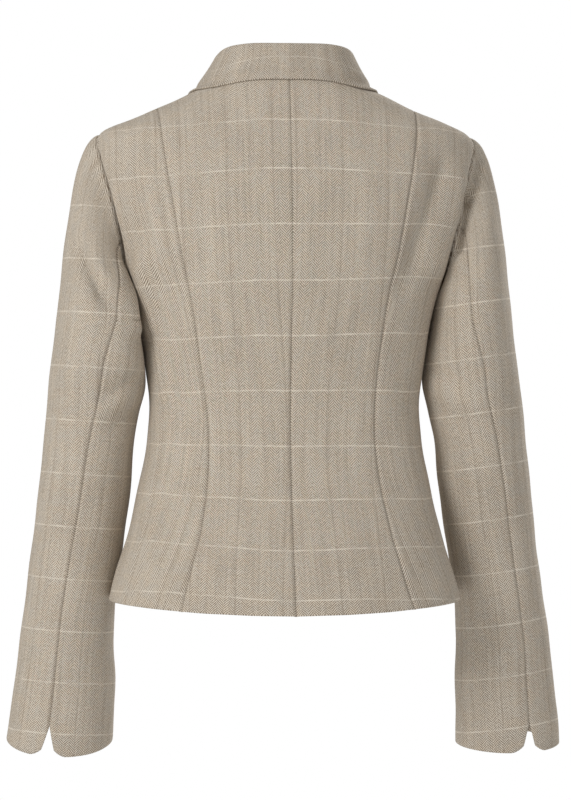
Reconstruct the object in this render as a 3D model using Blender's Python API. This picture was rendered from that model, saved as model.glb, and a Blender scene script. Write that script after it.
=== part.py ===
"""A fitted wool jacket as worn, with no wearer: shaped body panels, two-piece sleeves, a turned-down collar,
lapels and buttons. Each cloth piece is a wall of even thickness, cut from one smooth body or sleeve form.

Metres, +Z up. The wearer faces -Y and +X is the wearer's left. The origin is the middle of the neck base,
where the wearer's shoulders hold the jacket up.
"""

import math
from collections import namedtuple
from functools import partial

import bmesh
import bpy
import numpy as np

# Cloth and the gaps between pieces
WALL = 0.0020
SEAM_GAP = 0.0003
LAYER_GAP = 0.0008

# Heights of the main levels of the body
NECK_Z = 0.0
PRINCESS_TOP_Z = -0.030
SHOULDER_Z = -0.0545
UNDERARM_Z = -0.215
HEM_BEND_Z = -0.400
HEM_SIDE_Z = -0.518
HEM_BACK_DROP = 0.0085
HEM_FRONT_DROP = 0.004

# Rows of points: how many between each pair of levels
NECK_ROWS = 3
SHOULDER_ROWS = 5
SHOULDER_ROW_EASE = 1.4
ARMHOLE_ROWS = 11
ARMHOLE_CLOSER = 0.8
SIDE_ROWS = 14

# Each level of the body is a superellipse, with its own depth behind and in front of the side line
SECTION_POWER = 2.3
BodyLevel = namedtuple("BodyLevel", "z half_width back_depth front_depth")
BODY_LEVELS = [
    BodyLevel(0.006, 0.0660, 0.0565, 0.0480),
    BodyLevel(0.000, 0.0720, 0.0580, 0.0500),
    BodyLevel(-0.008, 0.0810, 0.0605, 0.0525),
    BodyLevel(-0.0155, 0.0965, 0.0630, 0.0550),
    BodyLevel(-0.028, 0.1235, 0.0665, 0.0590),
    BodyLevel(-0.044, 0.1615, 0.0705, 0.0640),
    BodyLevel(-0.052, 0.1805, 0.0725, 0.0665),
    BodyLevel(-0.057, 0.1865, 0.0740, 0.0685),
    BodyLevel(-0.080, 0.1890, 0.0800, 0.0770),
    BodyLevel(-0.100, 0.1860, 0.0850, 0.0860),
    BodyLevel(-0.125, 0.1810, 0.0890, 0.0965),
    BodyLevel(-0.160, 0.1720, 0.0925, 0.1110),
    BodyLevel(-0.190, 0.1630, 0.0925, 0.1210),
    BodyLevel(-0.215, 0.1530, 0.0900, 0.1240),
    BodyLevel(-0.240, 0.1470, 0.0850, 0.1215),
    BodyLevel(-0.263, 0.1430, 0.0800, 0.1165),
    BodyLevel(-0.290, 0.1385, 0.0745, 0.1085),
    BodyLevel(-0.332, 0.1350, 0.0695, 0.0990),
    BodyLevel(-0.356, 0.1370, 0.0705, 0.0975),
    BodyLevel(-0.404, 0.1455, 0.0800, 0.1005),
    BodyLevel(-0.452, 0.1565, 0.0985, 0.1060),
    BodyLevel(-0.500, 0.1710, 0.1195, 0.1110),
    BodyLevel(-0.535, 0.1800, 0.1345, 0.1140),
]

# Seams that run from the shoulder to the hem, by their distance from the middle. The two back ones differ a little
SeamLevel = namedtuple("SeamLevel", "z left_back right_back front")
PRINCESS_SEAMS = [
    SeamLevel(-0.030, 0.1285, 0.1285, 0.1285),
    SeamLevel(-0.060, 0.1260, 0.1260, 0.1240),
    SeamLevel(-0.090, 0.1220, 0.1220, 0.1150),
    SeamLevel(-0.124, 0.1165, 0.1160, 0.1050),
    SeamLevel(-0.164, 0.1100, 0.1090, 0.0950),
    SeamLevel(-0.233, 0.0963, 0.0945, 0.0830),
    SeamLevel(-0.286, 0.0882, 0.0877, 0.0775),
    SeamLevel(-0.340, 0.0808, 0.0845, 0.0760),
    SeamLevel(-0.393, 0.0812, 0.0877, 0.0800),
    SeamLevel(-0.442, 0.0880, 0.0968, 0.0880),
    SeamLevel(-0.490, 0.1012, 0.1087, 0.0990),
    SeamLevel(-0.540, 0.1140, 0.1240, 0.1110),
]
TIP_SHARE = 0.02

# Armhole: how far its edge stands behind and in front of the side line
ARMHOLE_BACK = 0.033
ARMHOLE_FRONT = 0.040
ARMHOLE_SKEW = 1.25
ARMHOLE_ROUND = 0.40

# Front opening
FRONT_OVERLAP = 0.015
BREAK_Z = -0.255
ROLL_NECK_X = 0.068
UNDER_FRONT_DIP = 0.0030
DIP_FULL_X = 0.020
DIP_END_X = 0.055

# Lapel outline, seen from the front
GORGE_Z = -0.045
GORGE_GAP = 0.0025
NOTCH_X = 0.086
NOTCH_Z = -0.080
LAPEL_TIP_X = 0.118
LAPEL_TIP_Z = -0.092
LAPEL_BELLY = 0.010
LAPEL_ROWS = 12
LAPEL_COLUMNS = 5
LAPEL_START = {1: 0.30, -1: 0.06}

# Collar: sections from the centre back round to the gorge, each folded over a rounded crown
COLLAR_WALL = 0.0020
CollarSection = namedtuple("CollarSection", "place seam crown middle edge radius")
COLLAR_SECTIONS = [
    CollarSection(0.00, (0, 0.0572, 0.0005), (0, 0.0600, 0.0304), (0, 0.0626, 0.0130), (0, 0.0630, -0.0040), 0.0030),
    CollarSection(0.22, (0.0405, 0.0468, 0.0005), (0.0415, 0.0490, 0.0306), (0.0462, 0.0532, 0.0130),
                  (0.0535, 0.0540, -0.0055), 0.0030),
    CollarSection(0.40, (0.0632, 0.0255, 0.0005), (0.0606, 0.0264, 0.0276), (0.0715, 0.0290, 0.0090),
                  (0.0840, 0.0300, -0.0130), 0.0030),
    CollarSection(0.54, (0.0705, 0.0000, 0.0005), (0.0672, 0.0005, 0.0205), (0.0802, 0.0000, 0.0045),
                  (0.0945, 0.0000, -0.0145), 0.0031),
    CollarSection(0.66, (0.0665, -0.0200, 0.0005), (0.0662, -0.0212, 0.0150), (0.0820, -0.0230, 0.0000),
                  (0.0995, -0.0240, -0.0195), 0.0033),
    CollarSection(0.80, (0.0600, -0.0480, -0.0130), (0.0652, -0.0492, -0.0080), (0.0850, -0.0520, -0.0260),
                  (0.1080, -0.0480, -0.0370), 0.0050),
    CollarSection(1.00, (0.0535, -0.0650, -0.0425), (0.0562, -0.0658, -0.0448), (0.0866, -0.0735, -0.0788),
                  (0.1120, -0.0640, -0.0660), 0.0100),
]
COLLAR_CLEAR = 0.0030
COLLAR_REST_START = 0.004
COLLAR_REST_RUN = 0.020
FALL_REST_START = 0.7
LIFT_PASSES = 4
LIFT_STEP = 0.0004
COLLAR_STEPS = 15
STAND_POINTS = 3
CROWN_POINTS = 4
FALL_POINTS = 5

# Sleeve: rings from the upper arm to the cuff
SleeveRing = namedtuple("SleeveRing", "z x y half_width half_depth left_seam right_seam front_seam")
SLEEVE_RINGS = [
    SleeveRing(-0.240, 0.1878, 0.000, 0.0402, 0.062, 113, 98, -122),
    SleeveRing(-0.280, 0.1866, -0.004, 0.0461, 0.058, 95, 82, -120),
    SleeveRing(-0.308, 0.1880, -0.008, 0.0481, 0.054, 91, 79, -118),
    SleeveRing(-0.332, 0.1922, -0.012, 0.0466, 0.052, 89, 77, -116),
    SleeveRing(-0.356, 0.1960, -0.016, 0.0452, 0.051, 87, 75, -115),
    SleeveRing(-0.404, 0.2012, -0.027, 0.0459, 0.049, 82, 71, -113),
    SleeveRing(-0.452, 0.2082, -0.042, 0.0461, 0.047, 79, 69, -112),
    SleeveRing(-0.524, 0.2192, -0.062, 0.0459, 0.046, 77, 69, -111),
    SleeveRing(-0.564, 0.2236, -0.072, 0.0479, 0.044, 77, 69, -110),
    SleeveRing(-0.604, 0.2257, -0.082, 0.0508, 0.042, 75, 69, -110),
    SleeveRing(-0.644, 0.2299, -0.092, 0.0535, 0.040, 75, 70, -110),
    SleeveRing(-0.664, 0.2315, -0.097, 0.0543, 0.039, 75, 71, -110),
]
BACK_SEAM_ROW = {1: 7, -1: 6}
FRONT_SEAM_ROW = 8
CAP_ROWS = 7
SLEEVE_ROWS = 13
SLEEVE_SWAY = 0.009
SLEEVE_SWING = {1: 0.011, -1: -0.008}
SWING_FULL_Z = -0.270
SWING_END_Z = -0.320
SLEEVE_FULLER = {1: 0.0, -1: 0.0012}
FULLER_FULL_Z = -0.400
FULLER_END_Z = -0.480
SLEEVE_CORNER = {1: 0.20, -1: 0.0}
CORNER_FULL_Z = -0.260
CORNER_END_Z = -0.350
CAP_RISE_ANGLE = 35.0
CAP_TURN_START = 0.35
CAP_TURN_EASE = 1.6
CAP_START_TOP = {1: 0.085, -1: 0.100}
CAP_START_UNDER = 0.016
CAP_END_TOP = 0.200
CAP_END_UNDER = 0.030

# Cuff vent on the back seam of each sleeve
VENT_HEIGHT = 0.028
VENT_HALF_WIDTH = 0.0085
VENT_ROWS = 3
CUFF_CORNER = 0.005
CUFF_SLOPE = {1: 0.17, -1: -0.03}
CUFF_DROP = {1: 0.0015, -1: 0.0095}
CUFF_SLOPE_RUN = 0.060

# Soft folds: lines on the back (face 1) or front (face -1), by distance from the middle and height
Fold = namedtuple("Fold", "side face x_top z_top x_bottom z_bottom width depth")
FOLDS = [
    Fold(-1, 1, 0.150, -0.094, 0.112, -0.208, 0.014, -0.0045),
    Fold(-1, 1, 0.052, -0.115, 0.034, -0.205, 0.014, -0.0016),
    Fold(1, 1, 0.146, -0.150, 0.122, -0.230, 0.012, -0.0018),
    Fold(1, 1, 0.203, -0.176, 0.178, -0.226, 0.009, -0.0036),
    Fold(-1, 1, 0.196, -0.080, 0.180, -0.116, 0.008, -0.0028),
    Fold(1, 1, 0.150, -0.300, 0.180, -0.318, 0.008, -0.0025),
    Fold(1, 1, 0.152, -0.334, 0.176, -0.350, 0.008, -0.0022),
    Fold(-1, 1, 0.148, -0.290, 0.178, -0.312, 0.009, -0.0025),
    Fold(-1, 1, 0.150, -0.326, 0.172, -0.344, 0.008, -0.0020),
    Fold(1, -1, 0.140, -0.120, 0.110, -0.210, 0.013, -0.0020),
    Fold(-1, -1, 0.146, -0.110, 0.112, -0.200, 0.013, -0.0024),
    Fold(1, -1, 0.226, -0.300, 0.176, -0.330, 0.010, -0.0024),
    Fold(-1, -1, 0.224, -0.310, 0.178, -0.336, 0.010, -0.0022),
]
FOLD_FACING = 0.5

# Buttons on the right front
BUTTON_HEIGHTS = {"button_upper": -0.280, "button_lower": -0.365}
BUTTON_RADIUS = 0.0115
BUTTON_THICKNESS = 0.0042
BUTTON_DISH = 0.0010
BUTTON_RIM = 0.0024
BUTTON_SIDES = 20
BUTTON_SEAT = 0.0008

# Columns of points across each panel
BACK_COLUMNS = 8
SIDE_BACK_COLUMNS = 6
SIDE_FRONT_COLUMNS = 6
FRONT_COLUMNS = 8

# Steps used to measure slopes and arc lengths of the forms
SLOPE_S = 0.004
SLOPE_Z = 0.0008
ARC_SAMPLES = 81

SIDES = {"left": 1, "right": -1}
WOOL_COLOUR = (0.40, 0.345, 0.285, 1.0)
HORN_COLOUR = (0.090, 0.060, 0.040, 1.0)


def smooth_table(positions, values, where):
    """A smooth curve through a table, with straight runs past its ends. The positions may rise or fall."""
    positions = np.asarray(positions, float)
    values = np.asarray(values, float)
    where = np.asarray(where, float)
    if positions[0] > positions[-1]:
        positions, values = positions[::-1], values[::-1]
    steps = np.diff(positions)
    slopes = np.diff(values) / steps
    tangents = np.empty_like(values)
    tangents[0], tangents[-1] = slopes[0], slopes[-1]
    tangents[1:-1] = (slopes[:-1] * steps[1:] + slopes[1:] * steps[:-1]) / (steps[1:] + steps[:-1])
    index = np.clip(np.searchsorted(positions, where) - 1, 0, len(steps) - 1)
    step = steps[index]
    t = (where - positions[index]) / step
    inside = np.clip(t, 0, 1)
    curve = (
        (2 * inside**3 - 3 * inside**2 + 1) * values[index]
        + (inside**3 - 2 * inside**2 + inside) * step * tangents[index]
        + (3 * inside**2 - 2 * inside**3) * values[index + 1]
        + (inside**3 - inside**2) * step * tangents[index + 1]
    )
    slope = np.where(t < 0, tangents[index], tangents[index + 1])
    return curve + (t - inside) * step * slope


def column(table, name):
    """One named column of a table of named rows."""
    return [getattr(row, name) for row in table]


def body_size(name, z):
    """A size of the body form at height z."""
    return smooth_table(column(BODY_LEVELS, "z"), column(BODY_LEVELS, name), z)


def unit(vectors):
    """Vectors of length one."""
    return vectors / np.linalg.norm(vectors, axis=-1, keepdims=True)


def smoothstep(value):
    """A smooth rise from 0 to 1."""
    value = np.clip(value, 0, 1)
    return value * value * (3 - 2 * value)


def quarter_curve(half_width, depth):
    """A quarter of each level's outline from the middle to the side: x, depth and the share of its length."""
    angle = np.linspace(0, math.pi / 2, ARC_SAMPLES)
    power = 2 / SECTION_POWER
    x = np.multiply.outer(half_width, np.sin(angle) ** power)
    y = np.multiply.outer(depth, np.cos(angle) ** power)
    lengths = np.hypot(np.diff(x, axis=-1), np.diff(y, axis=-1))
    share = np.concatenate([np.zeros_like(lengths[..., :1]), np.cumsum(lengths, axis=-1)], axis=-1)
    return x, y, share


def quarter_length(z, face):
    """Length of the outline from the middle of the back or front to the side."""
    depth = body_size("back_depth" if face > 0 else "front_depth", z)
    return quarter_curve(body_size("half_width", z), depth)[2][..., -1]


def body_form(s, z):
    """Points of the left half of the body: s is 0 at the centre back, 1 at the side and 2 at the centre front."""
    s, z = np.broadcast_arrays(np.asarray(s, float), np.asarray(z, float))
    shape = s.shape
    s, z = s.ravel(), z.ravel()
    back = s <= 1
    along = np.where(back, s, 2 - s)
    depth = np.where(back, body_size("back_depth", z), body_size("front_depth", z))
    x_table, y_table, lengths = quarter_curve(body_size("half_width", z), depth)
    points = np.empty((s.size, 3))
    for i in range(s.size):
        reach = abs(along[i]) * lengths[i, -1]
        points[i, 0] = math.copysign(np.interp(reach, lengths[i], x_table[i]), along[i])
        points[i, 1] = np.interp(reach, lengths[i], y_table[i])
    points[:, 1] *= np.where(back, 1, -1)
    points[:, 2] = z
    return points.reshape(shape + (3,))


def body_normals(s, z):
    """Directions that point out of the body form."""
    across = body_form(s + SLOPE_S, z) - body_form(s - SLOPE_S, z)
    upward = body_form(s, z + SLOPE_Z) - body_form(s, z - SLOPE_Z)
    return unit(np.cross(upward, across))


def s_at_x(x, z, face):
    """Where a seam at distance x from the middle lies on the back (face 1) or the front (face -1)."""
    half_width = body_size("half_width", z)
    depth = body_size("back_depth" if face > 0 else "front_depth", z)
    angle = np.arcsin(np.clip(np.abs(x) / half_width, 0, 1) ** (SECTION_POWER / 2))
    return s_at_angle(angle, half_width, depth, face, np.sign(x))


def s_at_y(y, z, face):
    """Where a point that stands y behind or in front of the side line lies on the body."""
    half_width = body_size("half_width", z)
    depth = body_size("back_depth" if face > 0 else "front_depth", z)
    angle = np.arccos(np.clip(y / depth, 0, 1) ** (SECTION_POWER / 2))
    return s_at_angle(angle, half_width, depth, face, 1.0)


def s_at_angle(angle, half_width, depth, face, sign):
    """The body's s for an angle of a level's quarter outline."""
    angle, half_width, depth, sign = np.broadcast_arrays(angle, half_width, depth, sign)
    angles = np.linspace(0, math.pi / 2, ARC_SAMPLES)
    lengths = quarter_curve(half_width.ravel(), depth.ravel())[2]
    along = [np.interp(a, angles, row / row[-1]) for a, row in zip(angle.ravel(), lengths)]
    along = sign * np.reshape(along, angle.shape)
    return along if face > 0 else 2 - along


def body_measure(points):
    """Below 1 inside the body form, 1 on it and above 1 outside it."""
    x, y, z = np.moveaxis(points, -1, 0)
    depth = np.where(y > 0, body_size("back_depth", z), body_size("front_depth", z))
    share = (np.abs(x) / body_size("half_width", z)) ** SECTION_POWER + (np.abs(y) / depth) ** SECTION_POWER
    return share ** (1 / SECTION_POWER)


def seat_on_body(points, clearance, pull):
    """Moves points that lie nearer to the body form than the clearance straight out, and pulls others in by a share."""
    for _ in range(LIFT_PASSES):
        steps = LIFT_STEP * np.eye(3)
        slope = np.stack(
            [(body_measure(points + step) - body_measure(points - step)) / (2 * LIFT_STEP) for step in steps], axis=-1
        )
        steepness = np.linalg.norm(slope, axis=-1)
        move = clearance - (body_measure(points) - 1) / steepness
        move = np.where(move > 0, move, pull * move)
        points = points + (move / steepness)[..., None] * slope
    return points


def fold_height(side, points, normals):
    """How far the soft folds move each point of the left half in or out."""
    height = np.zeros(points.shape[:-1])
    for fold in FOLDS:
        if fold.side != side:
            continue
        start = np.array([fold.x_top, fold.z_top])
        run = np.array([fold.x_bottom, fold.z_bottom]) - start
        flat = points[..., [0, 2]] - start
        along = np.clip(flat @ run / (run @ run), 0, 1)
        distance = np.linalg.norm(flat - along[..., None] * run, axis=-1)
        facing = smoothstep(fold.face * normals[..., 1] / FOLD_FACING)
        height += fold.depth * facing * np.exp(-((distance / fold.width) ** 2))
    return height


def under_dip(side, points):
    """The left front lies under the right one near the middle of the front."""
    if side < 0:
        return 0.0
    near = smoothstep((DIP_END_X - points[..., 0]) / (DIP_END_X - DIP_FULL_X))
    return -UNDER_FRONT_DIP * near * (points[..., 1] < 0)


def mirrored(side, points):
    """The points themselves for the left side, or their mirror image for the right."""
    return points * np.array([side, 1.0, 1.0])


def on_body(side, s, z, lift=0.0):
    """Points on the cloth of one side, raised by lift, and the directions out of it."""
    points = body_form(s, z)
    normals = body_normals(s, z)
    height = fold_height(side, points, normals) + under_dip(side, points) + lift
    return mirrored(side, points + height[..., None] * normals), mirrored(side, normals)


def armhole_levels():
    """Heights of the rows from the shoulder to the underarm, closer together toward both."""
    even = np.linspace(0, 1, ARMHOLE_ROWS + 1)
    closer = (1 - np.cos(math.pi * even)) / 2
    share = even + ARMHOLE_CLOSER * (closer - even)
    return SHOULDER_Z + (UNDERARM_Z - SHOULDER_Z) * share


def row_levels():
    """Heights of the rows of points from the neck to the hem."""
    neck = np.linspace(NECK_Z, PRINCESS_TOP_Z, NECK_ROWS + 1)
    ease = (np.arange(1, SHOULDER_ROWS + 1) / SHOULDER_ROWS) ** SHOULDER_ROW_EASE
    shoulder = PRINCESS_TOP_Z + (SHOULDER_Z - PRINCESS_TOP_Z) * ease
    armhole = armhole_levels()[1:]
    side = np.linspace(UNDERARM_Z, HEM_SIDE_Z, SIDE_ROWS + 1)[1:]
    return np.concatenate([neck, shoulder, armhole, side])


def hem_height(s):
    """Height of the hem round the body."""
    toward_back = np.cos(np.clip(s, 0, 1) * math.pi / 2) ** 2
    toward_front = np.sin(np.clip(s - 1, 0, 1) * math.pi / 2) ** 2
    return HEM_SIDE_Z - HEM_BACK_DROP * toward_back - HEM_FRONT_DROP * toward_front


def row_height(level, s):
    """Height of a row at s: level down to the hips, then bending to the line of the hem."""
    share = np.clip((HEM_BEND_Z - level) / (HEM_BEND_Z - HEM_SIDE_Z), 0, None)
    return np.where(level < HEM_BEND_Z, HEM_BEND_Z + share * (hem_height(s) - HEM_BEND_Z), level)


def princess_s(side, level, face):
    """Where the shoulder-to-hem seam crosses a row. Above its top the shoulder seam takes its place."""
    if level >= PRINCESS_TOP_Z:
        return 1.0
    back = "left_back" if side > 0 else "right_back"
    name = back if face > 0 else "front"
    x = smooth_table(column(PRINCESS_SEAMS, "z"), column(PRINCESS_SEAMS, name), level)
    return float(s_at_x(x, level, face))


def armhole_s(level, face):
    """Where the armhole's edge, or else the shoulder or side seam, crosses a row."""
    if level >= SHOULDER_Z or level <= UNDERARM_Z:
        return 1.0
    share = (level - SHOULDER_Z) / (UNDERARM_Z - SHOULDER_Z)
    reach = ARMHOLE_BACK if face > 0 else ARMHOLE_FRONT
    y = reach * math.sin(math.pi * share**ARMHOLE_SKEW) ** ARMHOLE_ROUND
    return float(s_at_y(y, level, face))


def roll_x(z):
    """Distance of the lapel's roll line from the middle. It starts at the front edge, past the middle."""
    return -FRONT_OVERLAP + (ROLL_NECK_X + FRONT_OVERLAP) * (z - BREAK_Z) / (NECK_Z - BREAK_Z)


def front_edge_s(level):
    """Where the roll line, or the front edge below it, crosses a row."""
    return float(s_at_x(np.float64(max(roll_x(level), -FRONT_OVERLAP)), level, -1))


def panel_grid(side, levels, first_s, last_s, columns):
    """Points and normals of a body panel between two seams, kept half a gap away from each."""
    share = np.linspace(0, 1, columns + 1)
    rows = []
    for level in levels:
        start, end = first_s(level), last_s(level)
        inset = SEAM_GAP / 2 / quarter_length(level, 1 if start < 1 else -1)
        s = start + inset + (end - start - 2 * inset) * share
        rows.append((s, row_height(level, s)))
    s = np.array([row[0] for row in rows])
    z = np.array([row[1] for row in rows])
    return on_body(side, s, z)


def blunt_tip(grid):
    """Gives a panel that starts in a point a narrow first row, on the straight lines of its two seams."""
    points, normals = grid
    points[0] += TIP_SHARE * (points[1] - points[0])
    return points, normals


def principled(name, colour, roughness):
    """A plain material."""
    material = bpy.data.materials.new(name)
    material.use_nodes = True
    shader = material.node_tree.nodes["Principled BSDF"]
    shader.inputs["Base Color"].default_value = colour
    shader.inputs["Roughness"].default_value = roughness
    shader.inputs["Metallic"].default_value = 0.0
    material.diffuse_color = colour
    return material


def add_object(name, bm, material, holder):
    """Turns a finished shape into a named object that the holder carries."""
    bmesh.ops.recalc_face_normals(bm, faces=bm.faces)
    mesh = bpy.data.meshes.new(name)
    bm.to_mesh(mesh)
    bm.free()
    mesh.shade_smooth()
    mesh.materials.append(material)
    piece = bpy.data.objects.new(name, mesh)
    piece.parent = holder
    bpy.context.scene.collection.objects.link(piece)
    return piece


def cloth_wall(name, outer, normals, thickness, material, holder):
    """A closed wall of even thickness behind a grid of outer points."""
    rows, columns = outer.shape[:2]
    bm = bmesh.new()
    faces = [outer, outer - thickness * normals]
    front, back = [[[bm.verts.new(p) for p in row] for row in grid] for grid in faces]
    for r in range(rows - 1):
        for c in range(columns - 1):
            bm.faces.new((front[r][c], front[r][c + 1], front[r + 1][c + 1], front[r + 1][c]))
            bm.faces.new((back[r][c], back[r + 1][c], back[r + 1][c + 1], back[r][c + 1]))
    rim = [(0, c) for c in range(columns)]
    rim += [(r, columns - 1) for r in range(1, rows)]
    rim += [(rows - 1, c) for c in range(columns - 2, -1, -1)]
    rim += [(r, 0) for r in range(rows - 2, 0, -1)]
    for (r0, c0), (r1, c1) in zip(rim, rim[1:] + rim[:1]):
        bm.faces.new((front[r0][c0], back[r0][c0], back[r1][c1], front[r1][c1]))
    return add_object(name, bm, material, holder)


def make_body(material, holder):
    """The eight panels of the body."""
    levels = row_levels()
    below_tip = levels[NECK_ROWS:]
    for word, side in SIDES.items():
        seam = {face: partial(princess_s, side, face=face) for face in (1, -1)}
        armhole = {face: partial(armhole_s, face=face) for face in (1, -1)}
        back = panel_grid(side, levels, lambda level: 0.0, seam[1], BACK_COLUMNS)
        cloth_wall(f"back_{word}", *back, WALL, material, holder)
        side_back = blunt_tip(panel_grid(side, below_tip, seam[1], armhole[1], SIDE_BACK_COLUMNS))
        cloth_wall(f"side_back_{word}", *side_back, WALL, material, holder)
        side_front = blunt_tip(panel_grid(side, below_tip, armhole[-1], seam[-1], SIDE_FRONT_COLUMNS))
        cloth_wall(f"side_front_{word}", *side_front, WALL, material, holder)
        front = panel_grid(side, levels, seam[-1], front_edge_s, FRONT_COLUMNS)
        cloth_wall(f"front_{word}", *front, WALL, material, holder)


def armhole_ring():
    """The armhole's edge on the left half, from the underarm up the back, over the shoulder and down the front."""
    levels = armhole_levels()
    back = [(armhole_s(level, 1), level) for level in levels[::-1]]
    front = [(armhole_s(level, -1), level) for level in levels[1:-1]]
    ring = np.array(back + front)
    return ring[:, 0], ring[:, 1]


def sleeve_table(name, z):
    """A size of the sleeve at height z."""
    return smooth_table(column(SLEEVE_RINGS, "z"), column(SLEEVE_RINGS, name), z)


def sleeve_ring_points(side, z, shares, top_at, back_at, front_at):
    """Points round the sleeve at height z, one for each share of the armhole's length."""
    back_angle = sleeve_table("left_seam" if side > 0 else "right_seam", z)
    front_angle = sleeve_table("front_seam", z)
    places = [0.0, back_at, top_at, front_at, 1.0]
    angles = [180.0, back_angle, 0.0, front_angle, -180.0]
    angle = np.radians(np.interp(shares, places, angles))
    slope = (sleeve_table("y", z - SLOPE_Z) - sleeve_table("y", z + SLOPE_Z)) / (2 * SLOPE_Z)
    lean = math.atan(-slope)
    reach = sleeve_table("half_depth", z) * np.sin(angle)
    fuller = SLEEVE_FULLER[side] * smoothstep((z - FULLER_END_Z) / (FULLER_FULL_Z - FULLER_END_Z))
    corner = SLEEVE_CORNER[side] * smoothstep((z - CORNER_END_Z) / (CORNER_FULL_Z - CORNER_END_Z))
    inner_back = (np.cos(angle) < 0) & (np.sin(angle) > 0)
    squarer = 1 + corner * np.where(inner_back, np.sin(2 * angle) ** 2, 0)
    reach = reach * squarer
    x = sleeve_table("x", z) + fuller + (sleeve_table("half_width", z) + fuller) * squarer * np.cos(angle)
    swing = SLEEVE_SWING[side] * smoothstep((z - SWING_END_Z) / (SWING_FULL_Z - SWING_END_Z))
    y = sleeve_table("y", z) + swing + reach * math.cos(lean)
    near_cuff = smoothstep(1 - (z - SLEEVE_RINGS[-1].z) / CUFF_SLOPE_RUN)
    lower = reach * math.sin(lean) + near_cuff * (CUFF_SLOPE[side] * reach + CUFF_DROP[side])
    return np.stack([x, y, z - lower], axis=-1)


def sleeve_heights():
    """Heights of the sleeve's rings, closer together beside the cuff vent."""
    top, cuff = SLEEVE_RINGS[0].z, SLEEVE_RINGS[-1].z
    upper = np.linspace(top, cuff + VENT_HEIGHT, SLEEVE_ROWS)
    return np.concatenate([upper, np.linspace(cuff + VENT_HEIGHT, cuff, VENT_ROWS + 1)[1:]])


def sleeve_form(side):
    """Points and normals of one sleeve as if on the left, without folds. Columns start and end at the underarm."""
    s, z = armhole_ring()
    edge = body_form(s, z)
    out = body_normals(s, z)
    run = unit(np.roll(edge, -1, axis=0) - np.roll(edge, 1, axis=0))
    inward = unit(np.cross(out, run))
    middle = edge.mean(axis=0)
    inward *= np.sign(np.sum(inward * (middle - edge), axis=-1, keepdims=True))
    drop = (SHOULDER_Z - z) / (SHOULDER_Z - UNDERARM_Z)
    turn = np.clip((drop - CAP_TURN_START) / (1 - CAP_TURN_START), 0, 1) ** CAP_TURN_EASE
    angle = np.radians(CAP_RISE_ANGLE + (180.0 - CAP_RISE_ANGLE) * turn)[:, None]
    start_way = np.cos(angle) * inward + np.sin(angle) * out
    start = edge + SEAM_GAP * (np.cos(angle / 2) * inward + np.sin(angle / 2) * out)
    start_normals = np.cos(angle) * out - np.sin(angle) * inward

    lengths = np.linalg.norm(np.diff(np.vstack([edge, edge[:1]]), axis=0), axis=-1)
    shares = np.concatenate([[0.0], np.cumsum(lengths)[:-1]]) / lengths.sum()
    top_at = shares[ARMHOLE_ROWS]
    back_at = shares[ARMHOLE_ROWS - BACK_SEAM_ROW[side]]
    front_at = shares[ARMHOLE_ROWS + FRONT_SEAM_ROW]
    heights = sleeve_heights()
    rings = [sleeve_ring_points(side, height, shares, top_at, back_at, front_at) for height in heights]

    start_pull = (CAP_START_TOP[side] + (CAP_START_UNDER - CAP_START_TOP[side]) * smoothstep(drop))[:, None]
    end_pull = (CAP_END_TOP + (CAP_END_UNDER - CAP_END_TOP) * smoothstep(drop))[:, None]
    end_way = unit(rings[1] - rings[0])
    cap = []
    for t in np.linspace(0, 1, CAP_ROWS + 1)[:-1]:
        cap.append(
            (2 * t**3 - 3 * t**2 + 1) * start
            + (t**3 - 2 * t**2 + t) * start_pull * start_way
            + (3 * t**2 - 2 * t**3) * rings[0]
            + (t**3 - t**2) * end_pull * end_way
        )
    points = np.array(cap + rings)
    around = np.roll(points, -1, axis=1) - np.roll(points, 1, axis=1)
    downward = np.gradient(points, axis=0)
    normals = unit(np.cross(around, downward))
    normals[0] = start_normals
    wrap = list(range(points.shape[1])) + [0]
    return points[:, wrap], normals[:, wrap]


def sway(points):
    """Both sleeves hang a little toward the wearer's right, more so lower down."""
    top, cuff = SLEEVE_RINGS[0].z, SLEEVE_RINGS[-1].z
    share = smoothstep((top - points[..., 2]) / (top - cuff))
    return points - np.stack([SLEEVE_SWAY * share, 0 * share, 0 * share], axis=-1)


def pull_back(points, edge_column, next_column, amounts):
    """Moves a piece's edge toward its inside."""
    way = unit(points[:, next_column] - points[:, edge_column])
    points[:, edge_column] += amounts[:, None] * way


def vent_amounts(rows):
    """How far each row's edge stands back from the back seam: half a gap, widening into the cuff vent."""
    amounts = np.full(rows, SEAM_GAP / 2)
    rise = np.linspace(0, 1, VENT_ROWS + 1)
    amounts[-(VENT_ROWS + 1):] += VENT_HALF_WIDTH * rise
    return amounts


def make_sleeves(material, holder):
    """Each sleeve's top and under piece, parted at the back seam and the front seam."""
    front_column = ARMHOLE_ROWS + FRONT_SEAM_ROW
    last = 2 * ARMHOLE_ROWS
    for word, side in SIDES.items():
        back_column = ARMHOLE_ROWS - BACK_SEAM_ROW[side]
        top_columns = list(range(back_column, front_column + 1))
        under_columns = list(range(front_column, last)) + list(range(0, back_column + 1))
        form, form_normals = sleeve_form(side)
        even = np.full(len(form), SEAM_GAP / 2)
        vent = vent_amounts(len(form))
        height = fold_height(side, form, form_normals)
        height[0] = 0.0
        folded = sway(mirrored(side, form + height[..., None] * form_normals))
        normals = mirrored(side, form_normals)
        for name, columns, vent_edge in (("top", top_columns, 0), ("under", under_columns, -1)):
            points = folded[:, columns].copy()
            plain_edge = -1 - vent_edge
            pull_back(points, vent_edge, 1 if vent_edge == 0 else -2, vent)
            pull_back(points, plain_edge, 1 if plain_edge == 0 else -2, even)
            upward = unit(points[-2, vent_edge] - points[-1, vent_edge])
            points[-1, vent_edge] += CUFF_CORNER * upward
            cloth_wall(f"{name}_sleeve_{word}", points, normals[:, columns], WALL, material, holder)


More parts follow.
